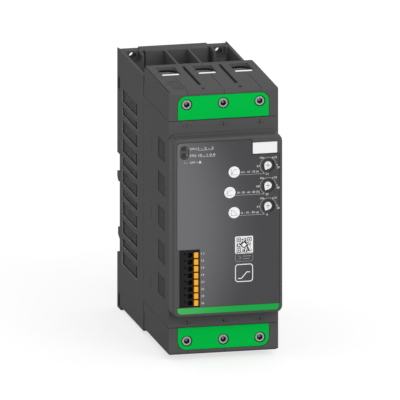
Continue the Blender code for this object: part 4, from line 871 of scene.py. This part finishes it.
lever_orange = lever_finish()
finish_nodes(lever_orange, *(f"release_lever_{number}" for number in range(1, 9)))


# Knobs: white plastic pointers on the potentiometers' spindles. A grey cross on each, which
# turns with it, is painted shade for the cross slot in its face.

KNOB_FACE_Y = -89.72
CROSS_REACH = 1.7
CROSS_WIDTH = 0.6

knob_white = moulded("knob_white_plastic", display(250), 0.45, Wear=0.0, Drift=0.03, Depth=0.05)
finish_nodes(knob_white, "knob_1", "knob_2", "knob_3")
# Painted shade: a grey cross laid over the cross slot in each knob's face.
cross_slot_shade = ink_finish("cross_slot_shade", display(165))
for number, level in enumerate(KNOBS, 1):
    half = CROSS_WIDTH / 2
    level_bar = band([(KNOB_X - CROSS_REACH, level), (KNOB_X + CROSS_REACH, level)], CROSS_WIDTH)
    upright = [band([(KNOB_X, level + way * half), (KNOB_X, level + way * CROSS_REACH)], CROSS_WIDTH)
               for way in (-1, 1)]
    cross = on_front(f"knob_slot_shade_{number}", [level_bar, *upright], cross_slot_shade, KNOB_FACE_Y)
    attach(cross, f"knob_{number}")


# Terminal screws, clamp cages and bars: plated steel, and tinned copper, with fine marks along
# the way they were drawn or turned.

STREAK_SCALE = 6000.0
STREAK_ROUGHNESS = 0.3
PATCH_SCALE = 420.0
PATCH_ROUGHNESS = 0.35
SCRATCH_DEPTH = 0.00002
SCRATCH_STRENGTH = 0.15
METAL_FILLET = 0.00025


def worked_metal_group():
    """Plated metal: a noise stretched along X marks its drawing, a broad one dulls it in patches.

    Colour = base x (1 + tarnish x (patches - 1/2) + marks x (streaks - 1/2)).
    """
    group, given, result = socket_group(
        "worked_metal",
        {"Colour": (0.6, 0.6, 0.6, 1.0), "Tarnish": 0.25, "Marks": 0.15, "Stretch": 0.15},
        {"Colour": "NodeSocketColor", "Roughness": "NodeSocketFloat", "Normal": "NodeSocketVector"})
    place = group.nodes.new("ShaderNodeTexCoord").outputs["Object"]
    axes = group.nodes.new("ShaderNodeSeparateXYZ")
    group.links.new(place, axes.inputs[0])
    drawn = group.nodes.new("ShaderNodeCombineXYZ")
    stretched = math_node(group, "MULTIPLY", axes.outputs["X"], given.outputs["Stretch"])
    group.links.new(stretched, drawn.inputs["X"])
    group.links.new(axes.outputs["Y"], drawn.inputs["Y"])
    group.links.new(axes.outputs["Z"], drawn.inputs["Z"])
    streaks = noise_node(group, drawn.outputs[0], STREAK_SCALE, 3.0)
    streaks = math_node(group, "SUBTRACT", streaks, 0.5)
    patches = math_node(group, "SUBTRACT", noise_node(group, place, PATCH_SCALE, 4.0), 0.5)
    shade = math_node(group, "ADD", math_node(group, "MULTIPLY", patches, given.outputs["Tarnish"]),
                      math_node(group, "MULTIPLY", streaks, given.outputs["Marks"]))
    shade = math_node(group, "ADD", shade, 1.0)
    group.links.new(shaded(group, given.outputs["Colour"], shade), result.inputs["Colour"])
    rough = math_node(group, "ADD", math_node(group, "MULTIPLY", patches, PATCH_ROUGHNESS),
                      math_node(group, "MULTIPLY", streaks, STREAK_ROUGHNESS))
    group.links.new(rough, result.inputs["Roughness"])
    fillet = fillet_normal(group, METAL_FILLET)
    scratches = bumped(group, streaks, SCRATCH_DEPTH, SCRATCH_STRENGTH, fillet)
    group.links.new(scratches, result.inputs["Normal"])
    return group


WORKED = worked_metal_group()


def metal(name, colour, roughness, **values):
    """Metal finish, with the worked metal group's values given by name."""
    made, shader = grouped(name, WORKED, colour, roughness, values)
    shader.inputs["Metallic"].default_value = 1.0
    return made


POLE_PITCH = 0.027
SCREW_LEVEL = 0.0144
ENDS_APART = 0.1756
GLINT_SPOT = (0.0007, -0.0002)
GLINT_RADIUS = 0.0006
GLINT_EDGE = 0.0013
SOCKET_MOUTH = -0.07515
SOCKET_DARK = -0.07480
SOCKET_FLOOR = -0.07080
SOCKET_SHADE = (0.02, 0.02, 0.02)
ENDS = ("upper", "lower")


def screw_finish():
    """Plated steel, with painted shade inside the hexagon socket but for a spot on its floor left as a
    painted glint.

    The position is wrapped to one pole's pitch and one end, so that every screw has the glint spot.
    """
    made = metal("screw_plated_steel", (0.29, 0.29, 0.30), 0.42, Stretch=1.0)
    tree, shader, colour = recoloured(made)
    position, place, _ = axes_and_facing(tree)
    wrapped = tree.nodes.new("ShaderNodeVectorMath")
    wrapped.operation = "WRAP"
    tree.links.new(position, wrapped.inputs[0])
    across, up = GLINT_SPOT[0], GLINT_SPOT[1] + SCREW_LEVEL
    for socket, way in ((wrapped.inputs[1], 1), (wrapped.inputs[2], -1)):
        socket.default_value = (across + way * POLE_PITCH / 2, way, up + way * ENDS_APART / 2)
    flat = tree.nodes.new("ShaderNodeVectorMath")
    flat.operation = "MULTIPLY_ADD"
    tree.links.new(wrapped.outputs[0], flat.inputs[0])
    flat.inputs[1].default_value = (1.0, 0.0, 1.0)
    flat.inputs[2].default_value = (-across, 0.0, -up)
    length = tree.nodes.new("ShaderNodeVectorMath")
    length.operation = "LENGTH"
    tree.links.new(flat.outputs[0], length.inputs[0])
    # Painted glint: a spot on the socket's floor is left out of the painted shade, so the metal shows
    # bright there.
    black = smooth_step(tree, length.outputs["Value"], GLINT_RADIUS, GLINT_EDGE)
    # Painted shade inside the hexagon socket, below its mouth.
    before = math_node(tree, "LESS_THAN", place["Y"], SOCKET_FLOOR)
    behind = smooth_step(tree, place["Y"], SOCKET_MOUTH, SOCKET_DARK)
    dark = math_node(tree, "MULTIPLY", math_node(tree, "MULTIPLY", behind, before), black)
    tree.links.new(blended(tree, dark, colour, SOCKET_SHADE), shader.inputs["Base Color"])
    return made


screw_steel = screw_finish()
finish_nodes(screw_steel, *(f"{end}_terminal_screw_{pole}" for end in ENDS for pole in (1, 2, 3)))
cage_steel = metal("cage_black_plated_steel", (0.33, 0.33, 0.33), 0.55)
finish_nodes(cage_steel, *(f"{end}_clamp_cage_{pole}" for end in ENDS for pole in (1, 2, 3)))
tinned_copper = metal("tinned_copper", (0.93, 0.93, 0.92), 0.33, Tarnish=0.15)
finish_nodes(tinned_copper, *(f"{end}_bar_{pole}" for end in ENDS for pole in (1, 2, 3)))


# Clip's spring: drawn steel wire wound in an open coil. It stands on the edge of the plate's
# recess.

WIRE_RADIUS = 0.0003
TURNS = 6


def coil(radius, wire, turns, centre, low, high, steps=120, around=10):
    """Tube along a helix: centre + radius x (cos a, sin a), rising evenly from low to high.

    Each ring lies across the helix's level tangent: wire x (cos b outward + sin b upward).
    """
    along = np.linspace(0, math.tau * turns, steps + 1)[:, None]
    about = np.linspace(0, math.tau, around, endpoint=False)[None, :]
    reach = radius + wire * np.cos(about)
    rise = low + (high - low) * along / (math.tau * turns) + wire * np.sin(about)
    points = np.stack([centre[0] + reach * np.cos(along), centre[1] + reach * np.sin(along), rise], axis=2)
    index = np.arange((steps + 1) * around).reshape(-1, around)
    after = np.roll(index, -1, axis=1)
    walls = np.stack([index[:-1], index[1:], after[1:], after[:-1]], axis=2).reshape(-1, 4)
    return points.reshape(-1, 3), [*walls.tolist(), index[0].tolist(), index[-1][::-1].tolist()]


spring_steel = metal("spring_steel", (0.50, 0.50, 0.49), 0.30)
least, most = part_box("rail_clip_spring")
middle = (least + most) / 2
points, faces = coil((most.x - least.x) / 2 - WIRE_RADIUS, WIRE_RADIUS, TURNS, middle,
                     least.z + WIRE_RADIUS, most.z - WIRE_RADIUS)
spring = mesh_piece("coil_spring", points, faces, spring_steel)
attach(spring, "root")
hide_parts("rail_clip_spring")
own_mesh(spring)


# Heat sink: a black anodised extrusion that carries the thyristor modules on its flange. Its
# fins stand behind the side windows, dulled by the oxide coat.

sink_black = metal("black_anodised_aluminium", (0.037, 0.038, 0.039), 0.5, Tarnish=0.04, Marks=0.1)
shader = sink_black.node_tree.nodes["Principled BSDF"]
shader.inputs["Metallic"].default_value = 0.2
shader.inputs["Specular IOR Level"].default_value = 0.1
finish_nodes(sink_black, "heat_sink")


# Clip, modules, relays, boards and transformers: held inside, seen through the openings. The
# clip is moulded, the modules and transformers are potted, and the boards have a solder mask.

clip_black = moulded("clip_black_acetal", display(44), 0.35, Wear=0.4)
finish_nodes(clip_black, "rail_clip")
potted_black = moulded("potted_black", display(38), 0.5, Drift=0.3)
finish_nodes(potted_black, "current_transformer_1", "current_transformer_3",
             *(f"thyristor_module_{pole}" for pole in (1, 2, 3)),
             *(f"potentiometer_{number}" for number in (1, 2, 3)))
relay_case = moulded("relay_case_plastic", display(222, 222, 214), 0.4)
finish_nodes(relay_case, *(f"bypass_relay_{pole}" for pole in (1, 2, 3)))
board_green = moulded("board_solder_mask", display(24, 92, 52), 0.35, Drift=0.3, Grain=1800.0)
finish_nodes(board_green, "control_board", "power_board")
